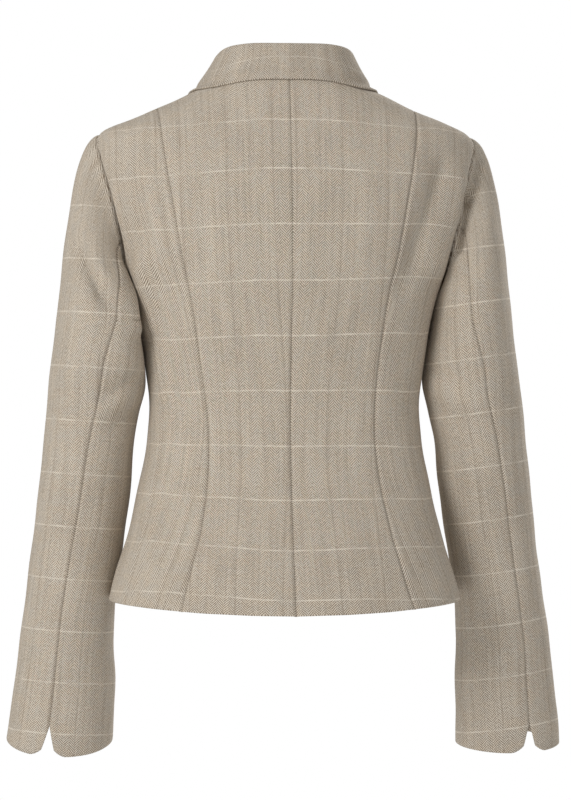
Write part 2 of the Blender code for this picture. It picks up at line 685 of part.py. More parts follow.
def lapel_outline(rows, columns):
    """Places on the front, as distance from the middle and height, from the roll line to the lapel's edge."""
    roll_z = BREAK_Z + (GORGE_Z - BREAK_Z) * rows
    roll = np.stack([roll_x(roll_z), roll_z], axis=-1)
    start, tip = roll_outline_start(), np.array([LAPEL_TIP_X, LAPEL_TIP_Z])
    chord = tip - start
    outward = np.array([-chord[1], chord[0]]) / np.linalg.norm(chord)
    outward *= np.sign(outward[0])
    share = ((rows - rows[0]) / (rows[-1] - rows[0]))[:, None]
    belly = LAPEL_BELLY * np.sin(math.pi * share) * outward
    low_edge = roll[0] + TIP_SHARE * chord
    edge = low_edge + (tip - low_edge) * share + belly
    notch = np.array([NOTCH_X, NOTCH_Z - GORGE_GAP])
    top = np.stack([
        np.interp(columns, [0, 0.5, 1], [roll[-1, 0], notch[0], tip[0]]),
        np.interp(columns, [0, 0.5, 1], [roll[-1, 1] - GORGE_GAP, notch[1], tip[1]]),
    ], axis=-1)
    across = columns[None, :, None]
    plain = (1 - across) * roll[:, None] + across * edge[:, None]
    return plain + (share**3)[:, :, None] * (top - plain[-1])[None]


def roll_outline_start():
    """Where the roll line leaves the front edge."""
    return np.array([-FRONT_OVERLAP, BREAK_Z])


def make_lapels(material, holder):
    """Each lapel lies on its front, turned back along the roll line."""
    columns = np.linspace(0, 1, LAPEL_COLUMNS + 1)
    columns[np.argmin(np.abs(columns - 0.5))] = 0.5
    for word, side in SIDES.items():
        rows = np.linspace(LAPEL_START[side], 1, LAPEL_ROWS + 1)
        flat = lapel_outline(rows, columns)
        s = s_at_x(flat[..., 0], flat[..., 1], -1)
        points, normals = on_body(side, s, flat[..., 1], LAYER_GAP + WALL)
        cloth_wall(f"lapel_{word}", points, normals, WALL, material, holder)


def collar_section(seam, crown, middle, edge, radius):
    """A folded strip: up the stand, over the rounded crown, and down the fall to its edge."""
    down_stand, down_fall = unit(seam - crown), unit(middle - crown)
    turn = math.pi / 2 - 0.5 * math.acos(np.clip(down_stand @ down_fall, -1, 1))
    inward, outward = unit(down_stand + down_fall), unit(down_fall - down_stand)
    centre = crown + radius * inward
    round_top = [
        centre + radius * (math.sin(angle) * outward - math.cos(angle) * inward)
        for angle in np.linspace(-turn, turn, CROWN_POINTS + 1)
    ]
    stand = [seam + (round_top[0] - seam) * t for t in np.linspace(0, 1, STAND_POINTS + 1)[:-1]]
    path = np.array([round_top[-1], middle, edge])
    places = np.linspace(0, 1, FALL_POINTS + 1)[1:]
    fall = np.stack([smooth_table([0.0, 0.5, 1.0], path[:, i], places) for i in range(3)], axis=-1)
    return np.array(stand + round_top + list(fall))


def settled_collar(points):
    """The fall rests on the back and shoulders, its edge close to them, and toward the gorge the whole strip does."""
    rests = smoothstep((-points[..., 1] - COLLAR_REST_START) / COLLAR_REST_RUN)
    rests[:, -FALL_POINTS:] = 1.0
    pull = np.zeros_like(rests)
    places = np.linspace(0, 1, FALL_POINTS + 1)[1:]
    pull[:, -FALL_POINTS:] = smoothstep((places - FALL_REST_START) / (1 - FALL_REST_START))
    return points + rests[..., None] * (seat_on_body(points, COLLAR_CLEAR, pull) - points)


def make_collar(material, holder):
    """One strip round the neck from gorge to gorge, with the stand and the fall in one piece."""
    places = column(COLLAR_SECTIONS, "place")
    half = []
    for place in np.linspace(0, 1, COLLAR_STEPS + 1):
        parts = {}
        for name in ("seam", "crown", "middle", "edge"):
            values = np.array(column(COLLAR_SECTIONS, name), float)
            parts[name] = np.array([smooth_table(places, values[:, i], place) for i in range(3)])
        radius = float(smooth_table(places, column(COLLAR_SECTIONS, "radius"), place))
        half.append(collar_section(radius=radius, **parts))
    left = settled_collar(np.array(half))
    points = np.concatenate([mirrored(-1, left[:0:-1]), left])
    around = np.gradient(points, axis=0)
    over = np.gradient(points, axis=1)
    normals = unit(np.cross(around, over))
    cloth_wall("collar", points, normals, COLLAR_WALL, material, holder)


def make_buttons(material, holder):
    """Dished discs on the right front, turned about their own axis."""
    profile = [
        (0.0, BUTTON_THICKNESS - BUTTON_DISH),
        (BUTTON_RADIUS - BUTTON_RIM, BUTTON_THICKNESS - BUTTON_DISH),
        (BUTTON_RADIUS - BUTTON_RIM / 2, BUTTON_THICKNESS),
        (BUTTON_RADIUS, BUTTON_THICKNESS / 2),
        (BUTTON_RADIUS - BUTTON_RIM / 2, 0.0),
        (0.0, 0.0),
    ]
    for name, z in BUTTON_HEIGHTS.items():
        points, normals = on_body(-1, np.array([2.0]), np.array([z]), BUTTON_SEAT)
        seat, axis = points[0], normals[0]
        across = unit(np.cross(axis, [0.0, 0.0, 1.0]))
        upward = np.cross(across, axis)
        bm = bmesh.new()
        rings = []
        for radius, height in profile:
            if radius == 0.0:
                rings.append([bm.verts.new(seat + height * axis)] * BUTTON_SIDES)
                continue
            turns = np.arange(BUTTON_SIDES) * 2 * math.pi / BUTTON_SIDES
            ring = seat + height * axis + radius * (
                np.multiply.outer(np.cos(turns), across) + np.multiply.outer(np.sin(turns), upward)
            )
            rings.append([bm.verts.new(p) for p in ring])
        for upper, lower in zip(rings, rings[1:]):
            for i in range(BUTTON_SIDES):
                j = (i + 1) % BUTTON_SIDES
                corners = [upper[i], upper[j], lower[j], lower[i]]
                bm.faces.new(list(dict.fromkeys(corners)))
        add_object(name, bm, material, holder)


def clear_scene():
    """Removes the objects that the file starts with."""
    for old in list(bpy.data.objects):
        bpy.data.objects.remove(old, do_unlink=True)


def main():
    clear_scene()
    holder = bpy.data.objects.new("wearer_shoulders", None)
    bpy.context.scene.collection.objects.link(holder)
    wool = principled("herringbone_wool", WOOL_COLOUR, 0.9)
    horn = principled("horn", HORN_COLOUR, 0.45)
    make_body(wool, holder)
    make_sleeves(wool, holder)
    make_collar(wool, holder)
    make_lapels(wool, holder)
    make_buttons(horn, holder)


main()
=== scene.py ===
"""The looks of the fitted wool jacket.

Every cloth piece is a fine shell on its solid's form, with rolled seams, soft creases and a herringbone weave
with a windowpane check. The buttons have their holes, thread and buttonholes. The forms repeat the part's own
sizes. Metres, +Z up, the wearer faces -Y and +X is the wearer's left.
"""

import math
from collections import namedtuple
from functools import partial

import bpy
import numpy as np
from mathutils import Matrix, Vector


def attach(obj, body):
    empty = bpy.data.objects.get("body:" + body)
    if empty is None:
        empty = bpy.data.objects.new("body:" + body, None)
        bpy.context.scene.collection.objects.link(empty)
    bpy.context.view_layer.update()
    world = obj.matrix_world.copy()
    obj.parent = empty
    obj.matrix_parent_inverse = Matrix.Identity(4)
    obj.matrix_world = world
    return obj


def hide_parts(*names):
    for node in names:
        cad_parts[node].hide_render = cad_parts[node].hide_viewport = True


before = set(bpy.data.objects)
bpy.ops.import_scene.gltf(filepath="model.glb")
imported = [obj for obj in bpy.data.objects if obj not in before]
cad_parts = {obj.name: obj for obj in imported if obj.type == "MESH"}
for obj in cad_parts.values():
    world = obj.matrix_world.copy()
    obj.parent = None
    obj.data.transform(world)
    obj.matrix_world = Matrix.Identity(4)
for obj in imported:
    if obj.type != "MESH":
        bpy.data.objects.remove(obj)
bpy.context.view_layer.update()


def table(columns, *rows):
    """A table of rows with named columns."""
    row_type = namedtuple("Row", columns)
    return [row_type(*row) for row in rows]


# Cloth: its wall, the gaps at seams and between layers, how seams are rolled in, and the painted shadow along
# them
WALL = 0.0020
SEAM_GAP = 0.0003
LAYER_GAP = 0.0008
SEAM_ROLL_DEPTH = 0.0014
SEAM_ROLL_RUN = 0.0017
SEAM_PAINTED_SHADOW_RUN = 0.0010
# How much more painted shadow the armhole seam gets than the others, standing in for the shade of the fold
# there
ARMHOLE_PAINTED_SHADOW = 2.8
ARMHOLE_PAINTED_SHADOW_RUN = 0.0017
VENT_ROLL_SHARE = 0.35
# Places of the close columns beside an edge, and the most of a narrow row that they take up
EDGE_STEPS = np.array([0, 0.0004, 0.0008, 0.0013, 0.0019, 0.0027, 0.0038])
EDGE_SHARE = 0.30
# How far free edges bulge, seam edges reach out, and a sleeve is tucked under the armhole's edge
RIM_BULGE = 0.0008
SEAM_CLOSE = 0.0003
ARMHOLE_TUCK = 0.0016

# Heights of the main levels of the body
NECK_Z = 0.0
PRINCESS_TOP_Z = -0.030
SHOULDER_Z = -0.0545
UNDERARM_Z = -0.215
HEM_BEND_Z = -0.400
HEM_SIDE_Z = -0.518
HEM_BACK_DROP = 0.0085
HEM_FRONT_DROP = 0.004

# Each level of the body is a superellipse, with its own depth behind and in front of the side line
SECTION_POWER = 2.3
BODY_LEVELS = table(
    "z half_width back_depth front_depth",
    (0.006, 0.0660, 0.0565, 0.0480),
    (0.000, 0.0720, 0.0580, 0.0500),
    (-0.008, 0.0810, 0.0605, 0.0525),
    (-0.0155, 0.0965, 0.0630, 0.0550),
    (-0.028, 0.1235, 0.0665, 0.0590),
    (-0.044, 0.1615, 0.0705, 0.0640),
    (-0.052, 0.1805, 0.0725, 0.0665),
    (-0.057, 0.1865, 0.0740, 0.0685),
    (-0.080, 0.1890, 0.0800, 0.0770),
    (-0.100, 0.1860, 0.0850, 0.0860),
    (-0.125, 0.1810, 0.0890, 0.0965),
    (-0.160, 0.1720, 0.0925, 0.1110),
    (-0.190, 0.1630, 0.0925, 0.1210),
    (-0.215, 0.1530, 0.0900, 0.1240),
    (-0.240, 0.1470, 0.0850, 0.1215),
    (-0.263, 0.1430, 0.0800, 0.1165),
    (-0.290, 0.1385, 0.0745, 0.1085),
    (-0.332, 0.1350, 0.0695, 0.0990),
    (-0.356, 0.1370, 0.0705, 0.0975),
    (-0.404, 0.1455, 0.0800, 0.1005),
    (-0.452, 0.1565, 0.0985, 0.1060),
    (-0.500, 0.1710, 0.1195, 0.1110),
    (-0.535, 0.1800, 0.1345, 0.1140),
)

# Seams from the shoulder to the hem, by their distance from the middle. The two back ones differ a little
PRINCESS_SEAMS = table(
    "z left_back right_back front",
    (-0.030, 0.1285, 0.1285, 0.1285),
    (-0.060, 0.1260, 0.1260, 0.1240),
    (-0.090, 0.1220, 0.1220, 0.1150),
    (-0.124, 0.1165, 0.1160, 0.1050),
    (-0.164, 0.1100, 0.1090, 0.0950),
    (-0.233, 0.0963, 0.0945, 0.0830),
    (-0.286, 0.0882, 0.0877, 0.0775),
    (-0.340, 0.0808, 0.0845, 0.0760),
    (-0.393, 0.0812, 0.0877, 0.0800),
    (-0.442, 0.0880, 0.0968, 0.0880),
    (-0.490, 0.1012, 0.1087, 0.0990),
    (-0.540, 0.1140, 0.1240, 0.1110),
)

# Armhole: how far its edge stands behind and in front of the side line
ARMHOLE_BACK = 0.033
ARMHOLE_FRONT = 0.040
ARMHOLE_SKEW = 1.25
ARMHOLE_ROUND = 0.40
ARMHOLE_CLOSER = 0.8
# How far the folds of its edge carry on into the sleeve, and where the sleeve's own folds are in full
LIFT_RUN = 0.009
FOLD_FADE = 0.007

# Front opening and lapels
FRONT_OVERLAP = 0.015
BREAK_Z = -0.255
ROLL_NECK_X = 0.068
UNDER_FRONT_DIP = 0.0030
DIP_FULL_X = 0.020
DIP_END_X = 0.055
GORGE_Z = -0.045
GORGE_GAP = 0.0042
NOTCH_X = 0.086
NOTCH_Z = -0.080
LAPEL_TIP_X = 0.118
LAPEL_TIP_Z = -0.092
LAPEL_BELLY = 0.010
LAPEL_START = {1: 0.30, -1: 0.06}
LAPEL_GRAIN = math.radians(20)
LAPEL_TOP_EASE = 3
NOTCH_PLACE = 0.5
TIP_SHARE = 0.02

# Collar: sections from the centre back round to the gorge, each folded over a rounded crown
COLLAR_SECTIONS = table(
    "place seam crown middle edge radius",
    (0.00, (0, 0.0572, 0.0005), (0, 0.0600, 0.0304), (0, 0.0626, 0.0130), (0, 0.0630, -0.0040), 0.0030),
    (0.22, (0.0405, 0.0468, 0.0005), (0.0415, 0.0490, 0.0306), (0.0462, 0.0532, 0.0130),
     (0.0535, 0.0540, -0.0055), 0.0030),
    (0.40, (0.0632, 0.0255, 0.0005), (0.0606, 0.0264, 0.0276), (0.0715, 0.0290, 0.0090),
     (0.0840, 0.0300, -0.0130), 0.0030),
    (0.54, (0.0705, 0.0000, 0.0005), (0.0672, 0.0005, 0.0205), (0.0802, 0.0000, 0.0045),
     (0.0930, 0.0000, -0.0135), 0.0031),
    (0.66, (0.0665, -0.0200, 0.0005), (0.0662, -0.0212, 0.0150), (0.0820, -0.0230, 0.0000),
     (0.0960, -0.0240, -0.0185), 0.0033),
    (0.80, (0.0600, -0.0480, -0.0130), (0.0652, -0.0492, -0.0080), (0.0850, -0.0520, -0.0260),
     (0.1080, -0.0480, -0.0370), 0.0050),
    (1.00, (0.0535, -0.0650, -0.0425), (0.0562, -0.0658, -0.0448), (0.0866, -0.0735, -0.0788),
     (0.1120, -0.0640, -0.0660), 0.0100),
)
COLLAR_CLEAR = 0.0025
COLLAR_REST_START = 0.004
COLLAR_REST_RUN = 0.020
FALL_REST_START = 0.7
LIFT_PASSES = 4
LIFT_STEP = 0.0004

# Sleeve: rings from the upper arm to the cuff
SLEEVE_RINGS = table(
    "z x y half_width half_depth left_seam right_seam front_seam",
    (-0.240, 0.1878, 0.000, 0.0402, 0.062, 113, 98, -122),
    (-0.280, 0.1871, -0.004, 0.0456, 0.058, 95, 82, -120),
    (-0.308, 0.1880, -0.008, 0.0481, 0.054, 91, 79, -118),
    (-0.332, 0.1922, -0.012, 0.0466, 0.052, 89, 77, -116),
    (-0.356, 0.1960, -0.016, 0.0452, 0.051, 87, 75, -115),
    (-0.404, 0.2012, -0.027, 0.0459, 0.049, 82, 71, -113),
    (-0.452, 0.2082, -0.042, 0.0461, 0.047, 79, 69, -112),
    (-0.524, 0.2192, -0.062, 0.0459, 0.046, 77, 69, -111),
    (-0.564, 0.2236, -0.072, 0.0479, 0.044, 77, 69, -110),
    (-0.604, 0.2257, -0.082, 0.0508, 0.042, 75, 69, -110),
    (-0.644, 0.2299, -0.092, 0.0535, 0.040, 75, 70, -110),
    (-0.664, 0.2315, -0.097, 0.0543, 0.039, 75, 71, -110),
)
SLEEVE_TOP_Z = SLEEVE_RINGS[0].z
CUFF_Z = SLEEVE_RINGS[-1].z
# How the sleeves hang: sway to one side, swing back or forward, and fuller or squarer on one side
SLEEVE_SWAY = 0.009
SLEEVE_SWING = {1: 0.011, -1: -0.008}
SWING_FULL_Z = -0.270
SWING_END_Z = -0.320
SLEEVE_FULLER = {1: 0.0, -1: 0.0012}
FULLER_FULL_Z = -0.400
FULLER_END_Z = -0.480
SLEEVE_CORNER = {1: 0.15, -1: 0.0}
CORNER_FULL_Z = -0.260
CORNER_END_Z = -0.350
# The sleeve's head: how it leaves the armhole, and how strongly it is drawn from there to the first ring
CAP_RISE_ANGLE = 35.0
CAP_TURN_START = 0.35
CAP_TURN_EASE = 1.6
CAP_START_TOP = {1: 0.085, -1: 0.100}
CAP_START_UNDER = 0.016
CAP_END_TOP = 0.200
CAP_END_UNDER = 0.030
# The sleeve's seams, as shares of the armhole's back and front, and the vented cuff
BACK_SEAM_PLACE = {1: 7 / 11, -1: 6 / 11}
FRONT_SEAM_PLACE = 8 / 11
VENT_HEIGHT = 0.028
VENT_HALF_WIDTH = 0.0085
CUFF_CORNER = 0.007
CUFF_CORNER_RUN = 0.011
CUFF_CORNER_RISE = 2.2
CUFF_SLOPE = {1: 0.17, -1: -0.03}
CUFF_DROP = {1: 0.0015, -1: 0.0095}
CUFF_SLOPE_RUN = 0.060

# Soft folds: lines on the back (face 1) or front (face -1), by distance from the middle and height
FOLD_COLUMNS = "side face x_top z_top x_bottom z_bottom width depth"
FOLDS = table(
    FOLD_COLUMNS,
    (-1, 1, 0.150, -0.094, 0.112, -0.208, 0.014, -0.0045),
    (-1, 1, 0.052, -0.115, 0.034, -0.205, 0.014, -0.0016),
    (1, 1, 0.146, -0.150, 0.122, -0.230, 0.012, -0.0018),
    (1, 1, 0.203, -0.176, 0.178, -0.226, 0.009, -0.0036),
    (-1, 1, 0.196, -0.080, 0.180, -0.116, 0.008, -0.0028),
    (1, 1, 0.150, -0.300, 0.180, -0.318, 0.008, -0.0025),
    (1, 1, 0.152, -0.334, 0.176, -0.350, 0.008, -0.0022),
    (-1, 1, 0.148, -0.290, 0.178, -0.312, 0.009, -0.0025),
    (-1, 1, 0.150, -0.326, 0.172, -0.344, 0.008, -0.0020),
    (1, -1, 0.140, -0.120, 0.110, -0.210, 0.013, -0.0020),
    (-1, -1, 0.146, -0.110, 0.112, -0.200, 0.013, -0.0024),
    (1, -1, 0.226, -0.300, 0.176, -0.330, 0.010, -0.0024),
    (-1, -1, 0.224, -0.310, 0.178, -0.336, 0.010, -0.0022),
)
# Finer creases and ridges, on the body or the sleeves alone
CREASES = {
    "body": table(
        FOLD_COLUMNS,
        (-1, 1, 0.1855, -0.074, 0.1790, -0.093, 0.0085, 0.0016),
        (-1, 1, 0.1745, -0.106, 0.1665, -0.136, 0.0085, 0.0042),
        (-1, 1, 0.1625, -0.149, 0.1490, -0.190, 0.0085, 0.0030),
        (-1, 1, 0.154, -0.092, 0.124, -0.186, 0.008, -0.0034),
        (1, 1, 0.143, -0.180, 0.136, -0.246, 0.009, 0.0045),
        (1, 1, 0.128, -0.262, 0.123, -0.312, 0.010, 0.0026),
        (-1, 1, 0.037, -0.124, 0.019, -0.192, 0.011, -0.0010),
        (1, 1, 0.060, -0.300, 0.050, -0.352, 0.010, -0.0009),
        (-1, 1, 0.058, -0.306, 0.046, -0.360, 0.010, -0.0009),
        (1, -1, 0.058, -0.268, 0.020, -0.284, 0.008, -0.0012),
        (-1, -1, 0.062, -0.272, 0.024, -0.284, 0.008, -0.0013),
        (1, -1, 0.110, -0.320, 0.074, -0.338, 0.009, -0.0012),
        (-1, -1, 0.112, -0.312, 0.078, -0.336, 0.009, -0.0012),
    ),
    "sleeve": table(
        FOLD_COLUMNS,
        (1, 1, 0.206, -0.170, 0.184, -0.216, 0.007, -0.0048),
        (1, 1, 0.193, -0.184, 0.179, -0.204, 0.0075, 0.0030),
        (1, 1, 0.152, -0.190, 0.149, -0.250, 0.008, 0.0075),
        (1, 1, 0.161, -0.165, 0.155, -0.190, 0.004, -0.0036),
        (-1, 1, 0.1960, -0.084, 0.1950, -0.096, 0.0055, -0.0032),
        (-1, 1, 0.1940, -0.099, 0.1810, -0.120, 0.0060, -0.0042),
        (-1, 1, 0.1900, -0.078, 0.1875, -0.100, 0.0050, 0.0014),
        (-1, 1, 0.1790, -0.122, 0.1665, -0.166, 0.0070, -0.0140),
        (-1, 1, 0.1930, -0.130, 0.1850, -0.150, 0.008, -0.0022),
        (1, 1, 0.162, -0.316, 0.190, -0.334, 0.006, 0.0014),
        (-1, 1, 0.160, -0.308, 0.188, -0.328, 0.006, 0.0014),
        (1, 1, 0.226, -0.420, 0.200, -0.452, 0.012, -0.0014),
        (-1, 1, 0.200, -0.420, 0.226, -0.456, 0.012, -0.0014),
        (1, -1, 0.222, -0.345, 0.180, -0.362, 0.009, -0.0022),
        (-1, -1, 0.218, -0.352, 0.182, -0.370, 0.009, -0.0022),
        (1, -1, 0.206, -0.110, 0.186, -0.150, 0.008, -0.0024),
        (-1, -1, 0.204, -0.104, 0.184, -0.144, 0.008, -0.0024),
    ),
}
# How far a point must face the back or the front for a fold to move it in full
FOLD_FACING = 0.5
# Behind the left underarm the body and the sleeve bulge against each other, within these heights and reaches
PRESS = {"body": 0.0044, "sleeve": -0.0062}
PRESS_TOP_Z = -0.176
PRESS_FULL_Z = -0.196
PRESS_LOW_Z = -0.204
PRESS_END_Z = -0.244
PRESS_X = 0.1475
PRESS_REACH_X = 0.032
PRESS_Y = 0.026
PRESS_RUN_Y = 0.018
# Slight ripples all over the cloth
RIPPLE_DEPTH = 0.00045
RIPPLE_X = 0.061
RIPPLE_Z = 0.083
RIPPLE_SLANT = 0.190

# Buttons on the right front
BUTTON_HEIGHTS = {"button_upper": -0.280, "button_lower": -0.365}
BUTTON_RADIUS = 0.0115
BUTTON_THICKNESS = 0.0042
BUTTON_DISH = 0.0010
BUTTON_RIM = 0.0024
BUTTON_SEAT = 0.0008
BUTTON_TURNS = 64
BUTTON_RINGS = 26
HOLE_PITCH = 0.0024
HOLE_RADIUS = 0.0010
HOLE_DEPTH = 0.0018
# Where a hole's rounded edge ends, in radii of the hole
HOLE_EDGE = 1.6

# Thread on the buttons and round the buttonholes
THREAD_RADIUS = 0.00032
THREAD_RISE = 0.0007
THREAD_SIDES = 7
STRANDS = 3
# How far the outer strands lie from the middle one, in radii of the thread
STRAND_SPREAD = 1.5
STRAND_POINTS = 13
SLIT_START = 0.003
SLIT_LENGTH = 0.025
SLIT_HALF_WIDTH = 0.0009
WHIP_RADIUS = 0.00045
WHIP_PITCH = 0.0007
WHIP_SIDES = 6
WHIP_POINTS = 5
BEND_STITCHES = 7
# How far a stitch is raised, in radii of its thread, and how far it reaches, in half widths of the slit
WHIP_LIFT = 0.6
WHIP_REACH = 0.8
# A direction that no thread runs along
TUBE_GUIDE = np.array([0.31, 0.24, 0.92])

# Weave: repeats of the cloth, measured along it
HERRINGBONE_WIDTH = 0.00575
TWILL_RISE = 0.0026
TWILL_SLOPE = 1.05
WEFT_REPEAT = 0.0545
WARP_REPEAT = 0.0455
LINE_LEVEL = -0.2034
GRAIN_TOP_Z = -0.100
WARP_STEPS = 13
STRIPE_START = {1: 0.0185, -1: 0.005}
SIDE_STRIPE = {1: 0.006, -1: 0.0}
FRONT_STRIPE = 0.012
COLLAR_LINE = 0.023
COLLAR_WEAVE = 1.22
# How much is cut away at the centre back, and how the cloth is stretched over the shoulders and the hips
GRAIN_LEVELS = table(
    "z centre_cut stretch",
    (0.000, 0.000, 1.14),
    (-0.060, 0.000, 1.11),
    (-0.105, 0.000, 1.00),
    (-0.200, 0.004, 1.00),
    (-0.340, 0.0145, 1.00),
    (-0.400, 0.0145, 1.01),
    (-0.435, 0.011, 1.05),
    (-0.495, 0.0065, 1.06),
    (-0.540, 0.004, 1.06),
)

# How far the lines across the sides sag below those of the middle, in full from SAG_FULL_X outward
LINE_SAGS = table(
    "z left right",
    (-0.030, 0.0085, 0.0080),
    (-0.100, 0.0070, 0.0030),
    (-0.150, 0.0050, -0.0020),
    (-0.260, 0.0045, -0.0035),
    (-0.310, 0.0030, 0.0000),
    (-0.410, -0.0055, -0.0005),
    (-0.460, -0.0090, -0.0035),
    (-0.520, -0.0095, 0.0000),
)
SAG_START_X = 0.030
SAG_FULL_X = 0.125

# How strongly those lines show, by distance from the middle of the body, and on each sleeve
LINE_SHOWS = table(
    "x left right",
    (0.000, 1.22, 1.22),
    (0.030, 1.02, 1.12),
    (0.075, 0.76, 1.00),
    (0.110, 0.70, 0.88),
    (0.190, 0.66, 0.80),
)
SLEEVE_LINE_SHOW = {1: 0.80, -1: 0.92}
COLLAR_LINE_SHOW = 0.55
# The lines fade out over the sleeve's head
CAP_SHOW_Z = -0.118
CAP_HIDE_Z = -0.090
# The collar is painted a little darker all over, mixed toward the seam shadow's colour as if near a seam
COLLAR_PAINTED_DARKENING = 0.4
# The centre-back seam is pressed flatter over the upper back
CENTRE_SEAM_SHARE = 0.55
CENTRE_SEAM_Z = -0.200
CENTRE_SEAM_RUN = 0.120

# Lines across each sleeve: the height of the first, their pitch, and how much they rise toward the outside
SleeveLines = namedtuple("SleeveLines", "first_z pitch rise")
SLEEVE_LINES = {1: SleeveLines(-0.1281, 0.0531, 0.064), -1: SleeveLines(-0.1120, 0.0549, 0.134)}
SLEEVE_LINE_X = 0.200
CAP_LINE_Z = -0.130

# Steps and counts of the fine grids
ROW_STEP = 0.0032
COLUMN_STEP = 0.0034
SLOPE_S = 0.004
SLOPE_Z = 0.0008
TIP_STEP = 2e-5
SMALLEST_SQUARE = 1e-12
ARC_SAMPLES = 121
ANGLES = np.linspace(0, math.pi / 2, ARC_SAMPLES)
SHOULDER_ROWS = 18
SHOULDER_EASE = 1.8
ARMHOLE_ROWS = 54
ARMHOLE_FINE = 66
CAP_FINE = 44
CAP_SMOOTHING = 10
LAPEL_ROWS = 72
LAPEL_COLUMNS = 36
STAND_FINE = 14
CROWN_FINE = 10
FALL_FINE = 22
COLLAR_FINE = 60

SIDES = {"left": 1, "right": -1}
SIDE_NAMES = {1: "left", -1: "right"}

# What is cut for each piece that shows, without seam allowances: the rectangle round it and its own area
Cut = namedtuple("Cut", "width length area")


def hermite(t, start, start_slope, end, end_slope):
    """A smooth curve from one value to another, with its slope at both."""
    return (
        (2 * t**3 - 3 * t**2 + 1) * start
        + (t**3 - 2 * t**2 + t) * start_slope
        + (3 * t**2 - 2 * t**3) * end
        + (t**3 - t**2) * end_slope
    )


def smooth_table(positions, values, where):
    """A smooth curve through a table, with straight runs past its ends. The positions may rise or fall."""
    positions = np.asarray(positions, float)
    values = np.asarray(values, float)
    where = np.asarray(where, float)
    if positions[0] > positions[-1]:
        positions, values = positions[::-1], values[::-1]
    steps = np.diff(positions)
    slopes = np.diff(values) / steps
    tangents = np.empty_like(values)
    tangents[0], tangents[-1] = slopes[0], slopes[-1]
    tangents[1:-1] = (slopes[:-1] * steps[1:] + slopes[1:] * steps[:-1]) / (steps[1:] + steps[:-1])
    index = np.clip(np.searchsorted(positions, where) - 1, 0, len(steps) - 1)
    step = steps[index]
    t = (where - positions[index]) / step
    inside = np.clip(t, 0, 1)
    after = index + 1
    curve = hermite(inside, values[index], step * tangents[index], values[after], step * tangents[after])
    slope = np.where(t < 0, tangents[index], tangents[after])
    return curve + (t - inside) * step * slope


def column(rows, name):
    """One named column of a table."""
    return [getattr(row, name) for row in rows]


def look_up(rows, name, where, by="z"):
    """One column of a table as a smooth curve, at places along another column."""
    return smooth_table(column(rows, by), column(rows, name), where)


def body_size(name, z):
    """A size of the body form at height z."""
    return look_up(BODY_LEVELS, name, z)


def unit(vectors):
    """Vectors of length one."""
    return vectors / np.linalg.norm(vectors, axis=-1, keepdims=True)


def smoothstep(value):
    """A smooth rise from 0 to 1."""
    value = np.clip(value, 0, 1)
    return value * value * (3 - 2 * value)


def rise_between(value, start, full):
    """A smooth rise from 0 at start to 1 at full."""
    return smoothstep((value - start) / (full - start))


def running_sum(steps, axis=0):
    """Sums of steps along an axis, from 0."""
    return np.concatenate([np.zeros_like(steps.take([0], axis)), np.cumsum(steps, axis)], axis)


def distances(points, axis=0):
    """How far each point is from the next along an axis of a grid."""
    return np.linalg.norm(np.diff(points, axis=axis), axis=-1)


def running_length(points, axis=0):
    """Length along an axis of a grid of points, from 0 at its start."""
    return running_sum(distances(points, axis), axis)


def quarter_lengths(half_width, depth):
    """Running length of each level's quarter outline from the middle to the side, one row for each level."""
    power = 2 / SECTION_POWER
    x = np.multiply.outer(half_width, np.sin(ANGLES) ** power)
    y = np.multiply.outer(depth, np.cos(ANGLES) ** power)
    steps = np.hypot(np.diff(x, axis=-1), np.diff(y, axis=-1))
    return running_sum(steps, -1)


def depth_name(face):
    """The depth column of the back (face 1) or the front (face -1)."""
    return "back_depth" if face > 0 else "front_depth"


def from_middle(s, face):
    """The body's s as counted from the middle of the back (face 1) or the front (face -1), or the reverse."""
    return s if face > 0 else 2 - s


def quarter_length(z, face):
    """Length of the outline from the middle of the back or front to the side."""
    z = np.asarray(z, float)
    lengths = quarter_lengths(body_size("half_width", z.ravel()), body_size(depth_name(face), z.ravel()))
    return lengths[:, -1].reshape(z.shape)


def body_form(s, z):
    """Points of the body's left half: s is 0 at the centre back, 1 at the side and 2 at the centre front."""
    s, z = np.broadcast_arrays(np.asarray(s, float), np.asarray(z, float))
    shape = s.shape
    s, z = s.ravel(), z.ravel()
    back = s <= 1
    along = np.where(back, s, 2 - s)
    half_width = body_size("half_width", z)
    depth = np.where(back, body_size("back_depth", z), body_size("front_depth", z))
    lengths = quarter_lengths(half_width, depth)
    reach = np.abs(along) * lengths[:, -1]
    index = np.clip((lengths < reach[:, None]).sum(axis=1) - 1, 0, ARC_SAMPLES - 2)
    rows = np.arange(len(s))
    low, high = lengths[rows, index], lengths[rows, index + 1]
    angle = ANGLES[index] + (reach - low) / (high - low) * (ANGLES[1] - ANGLES[0])
    angle = np.clip(angle, 0, math.pi / 2)
    power = 2 / SECTION_POWER
    x = np.copysign(half_width * np.sin(angle) ** power, along)
    y = depth * np.cos(angle) ** power * np.where(back, 1, -1)
    return np.stack([x, y, z], axis=-1).reshape(shape + (3,))


def body_normals(s, z):
    """Directions that point out of the body form."""
    across = body_form(s + SLOPE_S, z) - body_form(s - SLOPE_S, z)
    upward = body_form(s, z + SLOPE_Z) - body_form(s, z - SLOPE_Z)
    return unit(np.cross(upward, across))


def s_at_angle(angle, half_width, depth, face, sign):
    """The body's s for an angle of a level's quarter outline."""
    angle, half_width, depth, sign = np.broadcast_arrays(angle, half_width, depth, sign)
    lengths = quarter_lengths(half_width.ravel(), depth.ravel())
    along = [np.interp(a, ANGLES, row / row[-1]) for a, row in zip(angle.ravel(), lengths)]
    return from_middle(sign * np.reshape(along, angle.shape), face)


def s_at_x(x, z, face):
    """Where a seam at distance x from the middle lies on the back (face 1) or the front (face -1)."""
    half_width = body_size("half_width", z)
    angle = np.arcsin(np.clip(np.abs(x) / half_width, 0, 1) ** (SECTION_POWER / 2))
    return s_at_angle(angle, half_width, body_size(depth_name(face), z), face, np.sign(x))


